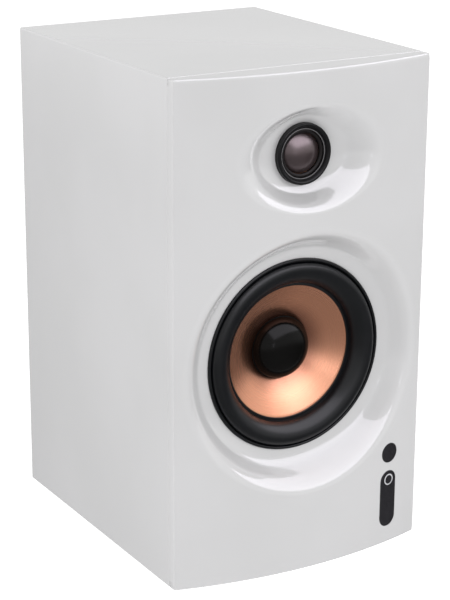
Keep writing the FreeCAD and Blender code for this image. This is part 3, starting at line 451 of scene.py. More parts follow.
def windings(name, paint, gap, pitch, axis, rough=0.3, metallic=1.0):
    # close turns of wire or tape laid side by side along one axis
    shader = Shader(name, metallic=metallic)
    position = shader.axes(shader.place(scale=(math.pi / (pitch * mm),) * 3))[axis]
    turn = position.sine().size() ** 0.6
    blotch = shader.noise(shader.place(), 80.0, 3.0)
    shader.set(baseColor=shader.blend(turn * blotch.fade(0.2, 0.6, 0.7, 1.0), gap, paint))
    shader.set(roughness=rough + blotch * 0.2)
    shader.set(normal=shader.bump(turn, 0.5, 0.1))
    return shader.material


def smoked():
    # gloss acrylic with hairline wipe marks
    shader = Shader("smokedAcrylic", coatWeight=1.0, coatRoughness=0.03)
    marks = shader.noise(shader.place(scale=(300.0, 60.0, 900.0)), 1.0, 4.0, 0.7)
    shader.set(baseColor=shader.blend(marks.fade(0.4, 0.7), (0.014, 0.013, 0.016), (0.022, 0.021, 0.025)))
    shader.set(roughness=marks * 0.12 + 0.14)
    shader.set(normal=shader.bump(marks, 0.02, 0.02))
    return shader.material


def copperCone():
    # spun metal with a warm copper finish: fine rings and satin, with painted shade that darkens it towards
    # the neck, round the dust cap
    shader = Shader("copperCone", metallic=1.0)
    radius = shader.radius((0, 0, middle("woofer_trim_ring").z))
    rings = shader.rings(radius, 4200.0)
    cloud = shader.noise(shader.place(), 30.0, 3.0)
    # painted shade round the dust cap: the copper falls to a dark tone from 34 mm in to 18 mm from the axis
    neck = radius.fade(0.018, 0.034)
    copper = shader.blend(neck, (0.30, 0.125, 0.085), (0.90, 0.42, 0.26))
    shader.set(baseColor=shader.blend(cloud.fade(0.3, 0.75) * 0.25, copper, (0.93, 0.50, 0.34)))
    shader.set(roughness=rings * 0.06 + cloud * 0.04 + 0.22)
    shader.set(normal=shader.bump(rings, 0.035, 0.02))
    return shader.material


def silk():
    # coated silk: a fine weave under a thin lacquer
    shader = Shader("coatedSilk", sheenWeight=0.08, sheenRoughness=0.35, ior=1.7, specularLevel=1.0,
                    specularTint=(1.0, 0.84, 0.87))
    warp, weft = shader.weave(0.28)
    thread = (warp.size() + weft.size()) * 0.5
    cloud = shader.noise(shader.place(), 120.0, 3.0)
    dark = shader.blend(cloud.fade(0.3, 0.7), (0.008, 0.0050, 0.0052), (0.014, 0.0080, 0.0082))
    shader.set(baseColor=shader.blend(thread * 0.5, dark, (0.030, 0.0170, 0.0170)))
    shader.set(roughness=0.35 - thread * 0.06)
    shader.set(normal=shader.bump(thread, 0.12, 0.03))
    return shader.material


def brushedPlate():
    # black anodised sheet, brushed across
    shader = Shader("anodisedPlate", metallic=0.65)
    lines = shader.noise(shader.place(scale=(14.0, 400.0, 1700.0)), 1.0, 4.0, 0.65)
    shader.drift(25.0, (0.030, 0.030, 0.032), (0.045, 0.045, 0.048))
    shader.set(roughness=lines * 0.25 + 0.30)
    shader.set(normal=shader.bump(lines, 0.12, 0.03))
    return shader.material


def floorPaint():
    shader = Shader("paleFloor", roughness=0.9, specularLevel=0.0)
    tone = shader.noise(shader.place(), 1.5, 2.0)
    shader.set(baseColor=shader.blend(tone, (0.30, 0.30, 0.30), (0.31, 0.31, 0.31)))
    shader.set(emissionColor=(1.0, 1.0, 1.0), emissionStrength=0.94)
    return shader.material


wooferCentre = middle("woofer_trim_ring")
paints = {
    "white_lacquer": lacquer(),
    "plywood": plywood(),
    "polyester_wadding": fibres("polyesterWadding", (0.80, 0.80, 0.78), (0.45, 0.45, 0.44)),
    "black_rubber": rubber("blackRubber", (0.0036, 0.0042, 0.0055), 0.33, 0.3, 0.36),
    "foam_gasket": rubber("foamGasket", (0.03, 0.03, 0.03), 0.8),
    "dark_window": smoked(),
    "pale_light_guide": moulded("lightGuide", (0.50, 0.50, 0.52), 0.3, 0.3),
    "circuit_board": boardGreen(),
    "black_epoxy": moulded("blackEpoxy", (0.012, 0.012, 0.013), 0.3),
    "painted_steel": moulded("powderCoat", (0.018, 0.018, 0.019), 0.45, 2.0),
    "zinc_screws": metal("zincPlate", (0.62, 0.61, 0.57), 0.32),
    "black_screws": metal("blackOxide", (0.05, 0.05, 0.052), 0.38),
    "copper_cone": copperCone(),
    "black_cap": rubber("blackCap", (0.0028, 0.0026, 0.0024), 0.18, 0.2, 0.14),
    "coil_former": metal("coilFormer", (0.80, 0.80, 0.81), 0.3),
    "copper_wire": windings("copperWire", (0.80, 0.36, 0.16), (0.20, 0.08, 0.04), 0.25, 1),
    "treated_cloth": woven("treatedCloth", (0.66, 0.46, 0.18), (0.22, 0.14, 0.05), 0.7),
    "plated_steel": turnedMetal("platedSteel", (0.60, 0.60, 0.57), 0.35, wooferCentre),
    "ferrite": moulded("ferrite", (0.045, 0.045, 0.05), 0.55, 1.6),
    "black_plastic": moulded("blackPlastic", (0.0065, 0.0065, 0.0072), 0.36),
    "silk_dome": silk(),
    "anodised_plate": brushedPlate(),
    "heatsink_aluminium": metal("extrudedAluminium", (0.72, 0.72, 0.74), 0.35, (900.0, 900.0, 20.0)),
    "capacitor_sleeve": moulded("capacitorSleeve", (0.01, 0.015, 0.06), 0.3, 0.4),
    "transformer_wrap": windings("transformerTape", (0.70, 0.52, 0.08), (0.38, 0.26, 0.04), 3.0, 0,
                                 0.35, 0.0),
    "nickel_plate": metal("nickelPlate", (0.78, 0.75, 0.70), 0.18, (900.0, 60.0, 900.0), 0.05),
    "pot_case": metal("pressedSteel", (0.55, 0.55, 0.54), 0.4),
    "red_plastic": moulded("redPlastic", (0.42, 0.012, 0.012), 0.33),
}
slotOf = {row["node"]: row["material_slot"] for row in frame["record"]["subparts"]}
bodyOf = {node: body for body, nodes in frame["record"]["behaviour"]["bodies"].items() for node in nodes}
for node, holder in frame["nodes"].items():
    holder.data.materials.clear()
    holder.data.materials.append(paints[slotOf[node]])
print("materials ready")


def stand(made, *nodes, paint=None):
    # the piece takes the first node's finish and body, and stands for all the nodes named
    made.data.materials.clear()
    made.data.materials.append(paint or paints[slotOf[nodes[0]]])
    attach(made, bodyOf[nodes[0]])
    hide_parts(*nodes)
    return made


# ---------- camera, light and floor

view = {
    "azimuth": -30.616, "elevation": 17.657, "roll": 0.292,    # degrees
    "distance": 1.30465, "lens": 114.07,
    "target": (0.01628, 0.01508, 0.14424),
}


def outwards(azimuth, elevation):
    # a unit direction in degrees; azimuth 0 is straight ahead of the front
    turn = math.radians(azimuth)
    rise = math.radians(elevation)
    return Vector((math.sin(turn) * math.cos(rise), -math.cos(turn) * math.cos(rise), math.sin(rise)))


def addCamera():
    roll = math.radians(view["roll"])
    back = outwards(view["azimuth"], view["elevation"])
    right = Vector((0, 0, 1)).cross(back).normalized()
    up = back.cross(right)
    side = right * math.cos(roll) + up * math.sin(roll)
    head = up * math.cos(roll) - right * math.sin(roll)
    lens = bpy.data.cameras.new("camera")
    lens.lens = view["lens"]
    lens.clip_start = 0.05
    camera = bpy.data.objects.new("camera", lens)
    turned = Matrix((side, head, back)).transposed().to_4x4()
    camera.matrix_world = Matrix.Translation(Vector(view["target"]) + back * view["distance"]) @ turned
    bpy.context.scene.collection.objects.link(camera)
    bpy.context.scene.camera = camera


def areaLight(name, azimuth, elevation, distance, size, radiance, gloss, matt):
    # a panel on a sphere round the aim point
    out = outwards(azimuth, elevation)
    lamp = bpy.data.lights.new(name, "AREA")
    lamp.shape = "RECTANGLE"
    lamp.size, lamp.size_y = size
    lamp.energy = radiance * math.pi * size[0] * size[1]
    holder = bpy.data.objects.new(name, lamp)
    holder.matrix_world = (Matrix.Translation(Vector(studio["aim"]) + out * distance)
                           @ out.to_track_quat("Z", "Y").to_matrix().to_4x4())
    if gloss:
        lamp.color = studio["cardTint"]
    holder.visible_glossy = gloss
    holder.visible_diffuse = matt
    bpy.context.scene.collection.objects.link(holder)


studio = {
    "skyHigh": 0.76, "skyLow": 0.27, "skyRight": 0.05,    # brightness above, below and low on the right
    "horizon": (-0.22, -0.02), "darkSide": (0.35, 0.9),   # where it changes, upwards and to the right
    "cardTint": (1.0, 0.965, 1.06), "aim": (0, 0, 0.16),
    "panels": {     # azimuth, elevation, distance, size, radiance, seen in gloss, lights matt surfaces
        "card": (31, 55, 2.0, (3.9, 2.8), 2.4, True, False),
        "bar": (-9, 1, 2.2, (0.06, 0.30), 7.0, True, False),
        "fill": (60, 11, 2.0, (1.2, 0.8), 2.6, False, True),
        "left": (-96, 7, 1.4, (1.4, 0.3), 2.6, False, True),
        "top": (0, 82, 1.8, (1.2, 1.0), 1.1, False, True),
    },
    "floorHalf": 6,     # metres
}


def addSky():
    # a grey dome, dimmer below the horizon and dimmest low on the right, where the studio is dark
    world = bpy.data.worlds.new("studio")
    world.use_nodes = True
    tree = world.node_tree
    where = tree.nodes.new("ShaderNodeTexCoord")
    split = tree.nodes.new("ShaderNodeSeparateXYZ")
    tree.links.new(where.outputs["Generated"], split.inputs[0])

    def step(source, span, first, last):
        node = tree.nodes.new("ShaderNodeMapRange")
        node.interpolation_type = "SMOOTHSTEP"
        tree.links.new(source, node.inputs[0])
        for number, value in enumerate((*span, first, last), start=1):
            if isinstance(value, float):
                node.inputs[number].default_value = value
            else:
                tree.links.new(value, node.inputs[number])
        return node.outputs[0]

    low = step(split.outputs["X"], studio["darkSide"], studio["skyLow"], studio["skyRight"])
    tree.links.new(step(split.outputs["Z"], studio["horizon"], low, studio["skyHigh"]),
                   tree.nodes["Background"].inputs["Strength"])
    tree.nodes["Background"].inputs["Color"].default_value = (1.0, 1.0, 1.0, 1.0)
    bpy.context.scene.world = world


def addStudio():
    addSky()
    bpy.context.scene.view_settings.view_transform = "Standard"
    for name, panel in studio["panels"].items():
        areaLight(name + "Panel", *panel)
    half = studio["floorHalf"]
    floor = makeObject("floor", [(-half, -half, 0), (half, -half, 0), (half, half, 0), (-half, half, 0)],
                       [(0, 1, 2, 3)])
    floor.data.materials.append(floorPaint())
    floor.visible_glossy = False        # gloss mirrors the dimmer dome below, as over a matt table


addCamera()
addStudio()
print("camera and studio ready")

# ---------- cabinet

bowRadius = (halfWidth ** 2 + cabinet["frontBulge"] ** 2) / (2 * cabinet["frontBulge"])


def bowed(across):
    # depth of the bowed face: a circle about a vertical axis through the front corners
    return -(np.sqrt(bowRadius ** 2 - across ** 2) - (bowRadius - cabinet["frontBulge"]))


def cabinetWrap():
    # a wall section carried round a rectangle with rounded corners
    wall, front, chamfer = cabinet["wall"], cabinet["baffleEdge"], cabinet["seamChamfer"]
    steps = cabinet["cornerSteps"]
    section = rounded([(wall, front), (chamfer, front), (0.0, front + chamfer * cabinet["seamSlope"]),
                       (0.0, backDepth, cabinet["backRound"]), (wall, backDepth)])
    quarter = np.linspace(0, math.pi / 2, steps)
    rows = []
    for inset, depth in section:
        radius = max(cabinet["edgeRound"] - inset, 0.02)
        wide = halfWidth - inset - radius
        tall = height / 2 - inset - radius
        ring = []
        for number, (sideways, upward) in enumerate(((1, 1), (-1, 1), (-1, -1), (1, -1))):
            swing = quarter + number * math.pi / 2
            ring.append(np.stack([sideways * wide + radius * np.cos(swing), np.full(steps, depth),
                                  height / 2 + upward * tall + radius * np.sin(swing)], axis=-1))
        rows.append(np.concatenate(ring))
    made = gridObject("cabinetWrap", rows, wrapRows=True)
    return stand(made, "left_panel", "right_panel", "top_panel", "bottom_panel")


baffle = {
    "wooferHole": 63.2, "wooferFloor": 8.2, "wooferLip": 88.2, "wooferSeat": 13.0, "driverHole": 57.0,
    "tweeterHole": 19.3, "tweeterFloor": 3.0, "tweeterLip": (55.6, 34.9), "tweeterWall": 8.0,
    "tweeterRecess": 35.0, "split": 231.0, "windowHole": 6.85, "windowDeep": 3.2,
    "notch": (58.6, 54.5, 71.3),     # left side, divider and top of the two window regions
    "slopeAt": (0.0, 0.08, 0.28, 0.40, 0.55, 0.70, 0.84, 1.0),
    "slope": (0.20, 0.32, 0.60, 1.45, 1.65, 1.35, 0.60, 0.0),
    "slopeSamples": 801, "slopeBlur": 49,
    "step": 2.2, "mouthRound": 0.12, "bowlRings": 60, "rimRings": 6,
    "pastLip": (0.3, 0.4, 0.4),     # how far fine rings pass the woofer's lip, the tweeter's and the windows
}
windows = {
    "ir": (66.2, 63.8), "irRadius": 6.75, "touch": (65.7, 31.6), "touchHalf": (6.9, 19.75), "touchGap": 0.1,
    "ring": (66.2, 44.9), "ringRadius": (3.0, 3.85), "ringRound": 0.1, "ringProud": (0.09, 0.13),
    "thick": 3.0, "proud": 0.05, "edgeRound": 0.35,
}


def bowlShare(share):
    # how much of a dish's depth remains at a share of the way out, the integral of a smoothed slope curve
    fine = np.linspace(0, 1, baffle["slopeSamples"])
    slope = np.interp(fine, baffle["slopeAt"], baffle["slope"])
    window = np.hanning(baffle["slopeBlur"])
    padded = np.pad(slope, baffle["slopeBlur"] // 2, mode="edge")
    slope = np.convolve(padded, window / window.sum(), mode="valid")
    fallen = np.concatenate([[0], np.cumsum((slope[1:] + slope[:-1]) / 2)])
    return np.interp(np.clip(share, 0, 1), fine, 1 - fallen / fallen[-1])


def ellipseReach(angle, half):
    # distance from an ellipse's middle to its edge along an angle
    return 1 / np.sqrt((np.cos(angle) / half[0]) ** 2 + (np.sin(angle) / half[1]) ** 2)


def pillReach(angle, half):
    # distance from a pill's middle to its edge along an angle
    cos, sin = np.cos(angle), np.sin(angle)
    straight = half[1] - half[0]
    side = half[0] / np.maximum(np.abs(cos), 1e-9)
    flat = np.abs(sin) * side <= straight
    tip = straight * np.abs(sin) + np.sqrt(np.maximum(half[0] ** 2 - (straight * cos) ** 2, 0))
    return np.where(flat, side, tip)


def faceDepth(across, high):
    # the bowed face, pulled back inside each dish from its lip to its floor
    depth = bowed(across)
    for middleHeight, hole, lip, floor in (
            (wooferHeight, baffle["wooferHole"], (baffle["wooferLip"],) * 2, baffle["wooferFloor"]),
            (tweeterHeight, baffle["tweeterHole"], baffle["tweeterLip"], baffle["tweeterFloor"])):
        away = np.hypot(across, high - middleHeight)
        reach = ellipseReach(np.arctan2(high - middleHeight, across), lip)
        share = bowlShare((away - hole) / (reach - hole))
        depth = depth * (1 - share) + floor * share
    return depth


def sideLine(start, end):
    # evenly spaced points from start up to, but not including, end
    start, end = np.array(start, float), np.array(end, float)
    count = max(int(round(np.linalg.norm(end - start) / baffle["step"])), 1)
    return start + (end - start) * (np.arange(count) / count)[:, None]


def loopOf(*corners):
    # sideLine after sideLine round a closed outline
    return np.concatenate([sideLine(corner, corners[(number + 1) % len(corners)])
                           for number, corner in enumerate(corners)])


def frontBaffle():
    # rings run from the back plane, through each hole or recess, out over the bowed face to a shared border
    inset = cabinet["edgeRound"]
    right, low, top = halfWidth - inset, inset, height - inset
    notch, divider, notchTop = baffle["notch"]
    split = baffle["split"]
    inside = cabinet["wall"] + cabinet["tongueGap"]
    squeeze = np.array([(halfWidth - inside) / right, (height / 2 - inside) / (height / 2 - inset)])
    back = cabinet["tongueDepth"]

    def backed(border):
        mapped = (border - [0, height / 2]) * squeeze + [0, height / 2]
        return np.stack([mapped[:, 0], np.full(len(border), back), mapped[:, 1]], axis=-1)

    def ring(centre, angle, radius, depth):
        radius = np.broadcast_to(radius, angle.shape)
        return np.stack([centre[0] + radius * np.cos(angle), np.broadcast_to(depth, angle.shape),
                         centre[1] + radius * np.sin(angle)], axis=-1)

    def overFace(flat):
        return np.stack([flat[..., 0], faceDepth(flat[..., 0], flat[..., 1]), flat[..., 1]], axis=-1)

    def faceRings(centre, angle, hole, lip, border, fine, coarse):
        rings = []
        for share in np.linspace(0, 1, fine):
            flat = ring(centre, angle, hole + (lip - hole) * share, 0.0)[:, [0, 2]]
            rings.append(overFace(flat))
        edge = rings[-1][:, [0, 2]]
        for share in np.linspace(0, 1, coarse + 1)[1:]:
            rings.append(overFace(edge * (1 - share) + border * share))
        return rings

    def anglesOf(border, centre):
        return np.arctan2(border[:, 1] - centre[1], border[:, 0] - centre[0])

    sheets = []
    mouthRound = baffle["mouthRound"]
    wooferBorder = loopOf((-right, low), (notch, low), (notch, divider), (notch, notchTop), (right, notchTop),
                          (right, split), (-right, split))
    tweeterBorder = loopOf((-right, split), (right, split), (right, top), (-right, top))
    pastWoofer, pastTweeter, pastWindow = baffle["pastLip"]
    for border, middleHeight, hole, bore, seat, floor, lip, past, coarse in (
            (wooferBorder, wooferHeight, baffle["wooferHole"], baffle["driverHole"], baffle["wooferSeat"],
             baffle["wooferFloor"], (baffle["wooferLip"],) * 2, pastWoofer, 10),
            (tweeterBorder, tweeterHeight, baffle["tweeterHole"], baffle["tweeterRecess"],
             baffle["tweeterWall"], baffle["tweeterFloor"], baffle["tweeterLip"], pastTweeter, 14)):
        centre = (0, middleHeight)
        angle = anglesOf(border, centre)
        reach = ellipseReach(angle, lip) + past
        walls = ((bore, back), (bore, seat), (hole, seat), (hole, floor + mouthRound))
        rings = [backed(border)] + [ring(centre, angle, radius, depth) for radius, depth in walls]
        rings += faceRings(centre, angle, hole + mouthRound, reach, border, baffle["bowlRings"], coarse)
        sheets.append(np.array(rings))
    pill = [half + windows["touchGap"] for half in windows["touchHalf"]]
    for border, centre, half in (
            (loopOf((notch, divider), (right, divider), (right, notchTop), (notch, notchTop)),
             windows["ir"], (baffle["windowHole"],) * 2),
            (loopOf((notch, low), (right, low), (right, divider), (notch, divider)), windows["touch"], pill)):
        angle = anglesOf(border, centre)
        hole = pillReach(angle, half)
        rings = [ring(centre, angle, radius, -baffle["windowDeep"]) for radius in (0.0, hole)]
        rings += faceRings(centre, angle, hole, hole + pastWindow, border, 2, 8)
        sheets.append(np.array(rings))
        sheets.append(np.array([backed(border), np.broadcast_to(backed(border).mean(0), (len(border), 3))]))
    rim = loopOf((-right, low), (notch, low), (right, low), (right, divider), (right, notchTop),
                 (right, split), (right, top), (-right, top), (-right, split))
    near = 1e-6
    outward = np.stack([np.sign(rim[:, 0]) * (np.abs(np.abs(rim[:, 0]) - right) < near),
                        1.0 * (rim[:, 1] > top - near) - 1.0 * (rim[:, 1] < low + near)], axis=-1)
    outward /= np.linalg.norm(outward, axis=1, keepdims=True)
    face = faceDepth(rim[:, 0], rim[:, 1])
    rings = []

    def rimRing(push, depth):
        moved = rim + outward * push
        rings.append(np.stack([moved[:, 0], np.broadcast_to(depth, face.shape), moved[:, 1]], axis=-1))

    for swing in np.linspace(0, math.pi / 2, baffle["rimRings"]):
        rimRing(inset * math.sin(swing), face + inset * (1 - math.cos(swing)))
    chamfer = cabinet["seamChamfer"]
    rimRing(inset, cabinet["baffleEdge"] - chamfer * cabinet["seamSlope"])
    rimRing(inset - chamfer, cabinet["baffleEdge"])
    tongueRing = backed(rim)
    tongueRing[:, 1] = cabinet["baffleEdge"]
    rings += [tongueRing, backed(rim)]
    sheets.append(np.array(rings))
    return stand(sheetsObject("bowedBaffle", sheets, 32), "front_baffle")


cabinetWrap()
frontBaffle()
print("cabinet and baffle ready")

# ---------- front windows


def bowRing(centre, angle, radius, back):
    # a ring of points on the bowed face, set back from it
    across = centre[0] + radius * np.cos(angle)
    return np.stack([across, bowed(across) + back, centre[1] + radius * np.sin(angle)], axis=-1)


def windowPlate(name, node, centre, half, count):
    # a pill-shaped plate that follows the bowed face, with a small round along its edge
    angle = fullTurn(count)
    reach = pillReach(angle, half)
    soft = windows["edgeRound"]
    flat = [((reach - soft) * share, 0.0) for share in (0.0, 0.3, 0.6, 0.85)]
    edge = [(reach - soft + soft * math.sin(swing), soft * (1 - math.cos(swing)))
            for swing in np.linspace(0, math.pi / 2, 5)]
    under = [(reach, windows["thick"]), (reach * 0.0, windows["thick"])]
    rings = [bowRing(centre, angle, radius, back - windows["proud"]) for radius, back in flat + edge + under]
    return stand(gridObject(name, rings), node)


def standbyMark():
    # a thin ring let into the touch window, with its front edges rounded
    inner, outer = windows["ringRadius"]
    edge, crown = windows["ringProud"]
    soft = windows["ringRound"]
    buried = 0.6
    section = ((inner, buried), (inner, -edge), (inner + soft, -crown), (outer - soft, -crown),
               (outer, -edge), (outer, buried))
    rows = [bowRing(windows["ring"], fullTurn(96), radius, back) for radius, back in section]
    return stand(gridObject("standbyMark", rows, wrapRows=True), "standby_ring")


windowPlate("irLens", "ir_window", windows["ir"], (windows["irRadius"],) * 2, 120)
windowPlate("touchPlate", "touch_window", windows["touch"], windows["touchHalf"], 240)
standbyMark()

# ---------- woofer

woofer = {
    "rimRadius": 63.1, "rimFront": 7.1, "grooveRadius": 60.9, "joinRadius": 57.0,
    "rollMiddle": 53.3, "rollHalf": 7.3, "rollOuter": 9.0, "rollInner": 13.4, "rollRise": 6.2, "skin": 0.8,
    "coneEdge": 46.2, "coneRim": 2.4, "coneTop": 14.6, "neck": (13.05, 29.0), "coneWall": 0.7,
    "coneBow": 0.35, "capRadius": 20.3, "capBase": 25.5, "capRise": 12.0, "capSkin": 0.7,
}
rollJoin = math.acos((woofer["joinRadius"] - woofer["rollMiddle"]) / woofer["rollHalf"])


def rollPoint(swing, skin=0.0):
    # the surround's half roll: an ellipse about a base line that sinks from its outer foot to its inner
    half = woofer["rollHalf"] - skin
    across = woofer["rollMiddle"] + half * np.cos(swing)
    sunk = (woofer["rollInner"] - woofer["rollOuter"]) * (1 - np.cos(swing)) / 2
    rise = (woofer["rollRise"] - skin) * np.sin(swing)
    return np.stack([across, woofer["rollOuter"] + sunk - rise], axis=-1)


def trimRing():
    # rim, groove and the outer flank of the roll as one moulding
    flank = rollPoint(np.linspace(0.0, rollJoin, 12))
    rim = rounded([(woofer["rimRadius"], 10.4), (woofer["rimRadius"], woofer["rimFront"], 0.7),
                   (woofer["grooveRadius"] + 0.5, woofer["rimFront"] - 0.3, 0.7),
                   (woofer["grooveRadius"], woofer["rollOuter"] + 0.1, 0.3)])[:-1]
    back = np.array([(woofer["joinRadius"], 9.6), (58.5, 9.6), (58.5, 10.4)])
    made = lathe("trimRing", np.concatenate([rim, flank, back]), 0, wooferHeight, 200, sharp=50)
    return stand(made, "woofer_trim_ring")


def wooferSurround():
    # the crest and inner flank of the roll
    foot = math.pi * 0.97
    front = rollPoint(np.linspace(rollJoin, foot, 34))
    behind = rollPoint(np.linspace(foot, 0.25, 26), woofer["skin"])
    lip = rounded([(45.6, woofer["rollInner"] + 0.5, 0.25), (43.9, 13.7, 0.3), (43.9, 14.55), (47.2, 14.55)])
    profile = np.concatenate([front, lip, behind, [(58.3, 9.7), (58.3, 9.2), (57.05, 9.2)]])
    made = lathe("rollSurround", profile, 0, wooferHeight, 200, sharp=50)
    return flexing(made, ("woofer_surround",))


def flexing(made, nodes):
    # gives the piece the first node's finish, bakes its placement into its points and hides the nodes it
    # stands for
    made.data.materials.append(paints[slotOf[nodes[0]]])
    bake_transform(made)
    points = np.zeros(len(made.data.vertices) * 3)
    made.data.vertices.foreach_get("co", points)
    points = points.reshape(-1, 3)
    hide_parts(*nodes)
    return made


def wooferCone():
    # a thin cone carried round: a flat rim, then one shallow arc down to the neck
    rim, top, wall = woofer["coneEdge"], woofer["coneTop"], woofer["coneWall"]
    front = arcLine((rim - woofer["coneRim"], top), woofer["neck"], woofer["coneBow"], 28)
    profile = np.concatenate([[(rim, top)], front, front[::-1] + [0.0, wall], [(rim, top + wall)]])
    return stand(lathe("copperShell", profile, 0, wooferHeight, 200), "woofer_cone")


def dustCap():
    # a full cap, its radius and rise near the cosine and sine of one angle, with a thin flange to glue down
    swing = np.linspace(0, math.pi / 2, 26)
    full, base, rise = woofer["capRadius"], woofer["capBase"], woofer["capRise"]
    outer = np.stack([full * np.cos(swing) ** 0.86,
                      base - 0.5 - (rise - 0.5) * np.sin(swing) ** 1.05], axis=-1)
    outer[-1, 0] = 0.0
    flange = np.array([(full + 0.9, base - 0.15), (full + 0.8, base - 0.4), (full + 0.25, base - 0.45)])
    inner = np.stack([(full - woofer["capSkin"]) * np.cos(swing[::-1]),
                      base + 0.1 - (rise - 0.9) * np.sin(swing[::-1])], axis=-1)
    inner[0, 0] = 0.0
    profile = np.concatenate([flange, outer, inner, [(full - 0.5, base + 0.25)]])
    return stand(lathe("dustCap", profile, 0, wooferHeight, 160, sharp=50), "woofer_dust_cap")


trimRing()
wooferSurround()
wooferCone()
dustCap()

# ---------- tweeter

tweeter = {
    "ring": 19.2, "ringFront": -0.6, "bore": 16.0, "line": 0.30, "flange": 34.0, "flangeDepth": (9.0, 11.0),
    "dome": 12.6, "domeBase": 4.3, "domeApex": -0.9, "domeSkin": 0.4,
}


def tweeterRing():
    # a rounded bezel with a fine step inside it, on the flange behind the baffle
    outer, front, bore, wide = (tweeter[key] for key in ("ring", "ringFront", "bore", "flange"))
    high, low = tweeter["flangeDepth"]
    profile = rounded([(outer, high), (outer, front + 0.6, 0.5), (outer - 0.5, front, 0.8),
                       (outer - 1.8, front + 0.1, 1.0), (bore + 0.6, front + 1.5, 0.3),
                       (bore + 0.4, front + 2.2, 0.12), (bore - 0.3, front + 2.2, 0.12),
                       (bore - 0.4, 3.75), (bore - 1.0, 3.8), (bore - 1.0, low), (wide, low), (wide, high)])
    made = stand(lathe("tweeterBezel", profile, 0, tweeterHeight, 160), "tweeter_face_ring",
                 paint=rubber("bezelBlack", (0.0042, 0.0042, 0.0048), 0.36, 0.3, 0.25))
    swing = fullTurn(12)     # a painted highlight: a grey ring standing in for the bright edge where the bezel meets the surround
    section = np.stack([bore - 0.45 + tweeter["line"] * np.cos(swing),
                        front + 2.3 - tweeter["line"] * np.sin(swing)], axis=-1)
    line = lathe("bezelHighlightRing", section, 0, tweeterHeight, 160, sharp=80)
    # the grey of this ring is a painted highlight
    line.data.materials.append(moulded("bezelHighlightRing", (0.15, 0.145, 0.15), 0.25, 0.3))
    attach(line, bodyOf["tweeter_face_ring"])
    return made


def tweeterDome():
    # a shallow cap of a sphere
    edge, base = tweeter["dome"], tweeter["domeBase"]
    front = arcLine((edge, base), (-edge, base), base - tweeter["domeApex"], 49)[:25]
    front[-1, 0] = 0.0
    back = front[::-1] * [0.965, 1.0] + [0.0, tweeter["domeSkin"]]
    return stand(lathe("silkDome", np.concatenate([front, back]), 0, tweeterHeight, 128), "tweeter_dome")


def tweeterSurround():
    # a narrow roll from the ring to the dome: one arc over another, carried round
    front = arcLine((15.4, 3.1), (12.65, 3.8), 1.15, 16)
    back = arcLine((12.9, 4.2), (15.1, 3.6), -0.85, 14)
    profile = np.concatenate([[(15.95, 3.75), (15.95, 3.1)], front, back])
    made = lathe("domeSurround", profile, 0, tweeterHeight, 128, sharp=50)
    made = flexing(made, ("tweeter_surround",))
    made.data.materials[0] = rubber("domeEdge", (0.0060, 0.0045, 0.0045), 0.5, 0.3, 0.25)
    return made


tweeterRing()
tweeterDome()
tweeterSurround()
print("drivers ready")

# ---------- woofer's moving parts behind the cone

behind = {
    "former": 13.05, "shelf": 36.2, "spiderDepth": 36.0, "wave": 3.0, "waveHeight": 0.9, "cloth": 0.6,
    "leadAcross": 6.0, "leadRadius": 0.6, "leadStart": (-24.0, 28.0), "leadBend": (-39.5, 28.5),
    "leadEnd": (-46.0, 45.75),
}


def wooferSpider():
    # a disc of cloth whose depth is a sine of the radius, fading to flat at its two edges
    radius = np.linspace(behind["former"], behind["shelf"], 90)
    edge = np.minimum(radius - behind["former"], behind["shelf"] - radius) / 3.0
    wave = behind["waveHeight"] * np.sin((radius - behind["former"]) * math.pi / behind["wave"])
    depth = behind["spiderDepth"] + wave * np.clip(edge, 0, 1)
    front = np.stack([radius, depth], axis=-1)
    back = front[::-1] + [0.0, behind["cloth"]]
    made = lathe("corrugatedSpider", np.concatenate([front, back]), 0, wooferHeight, 120, sharp=60)
    return flexing(made, ("woofer_spider",))


def tinselLeads():
    # two tubes along one parabola through three points; the strands twist round the tube
    start, bend, end = (np.array(behind[key]) for key in ("leadStart", "leadBend", "leadEnd"))
    share = np.linspace(0, 1, 40)[:, None]
    line = (start * (1 - share) * (1 - 2 * share) + bend * 4 * share * (1 - share)
            + end * share * (2 * share - 1))
    along = np.gradient(line, axis=0)
    along /= np.linalg.norm(along, axis=1, keepdims=True)
    turn = fullTurn(24)[None, :]
    twist = np.linspace(0, 9 * math.pi, 40)[:, None]
    radius = behind["leadRadius"] * (1 - 0.12 * np.abs(np.sin(2 * (turn + twist))))
    sheets = []
    for side in (-1, 1):
        across = side * behind["leadAcross"] + radius * np.cos(turn)
        high = wooferHeight + line[:, :1] + radius * np.sin(turn) * along[:, 1:]
        depth = line[:, 1:] - radius * np.sin(turn) * along[:, :1]
        tube = np.stack([across, depth, high], axis=-1)
        ends = [np.broadcast_to(row.mean(0), row.shape) for row in (tube[0], tube[-1])]
        sheets.append(np.concatenate([ends[0][None], tube, ends[1][None]]))
    made = sheetsObject("braidedLeads", sheets, 60)
    return flexing(made, ("woofer_tinsel_leads",))


wooferSpider()
tinselLeads()

# ---------- wadding

wadding = {"roundness": 0.45, "lumps": 2.2, "swell": 0.97}


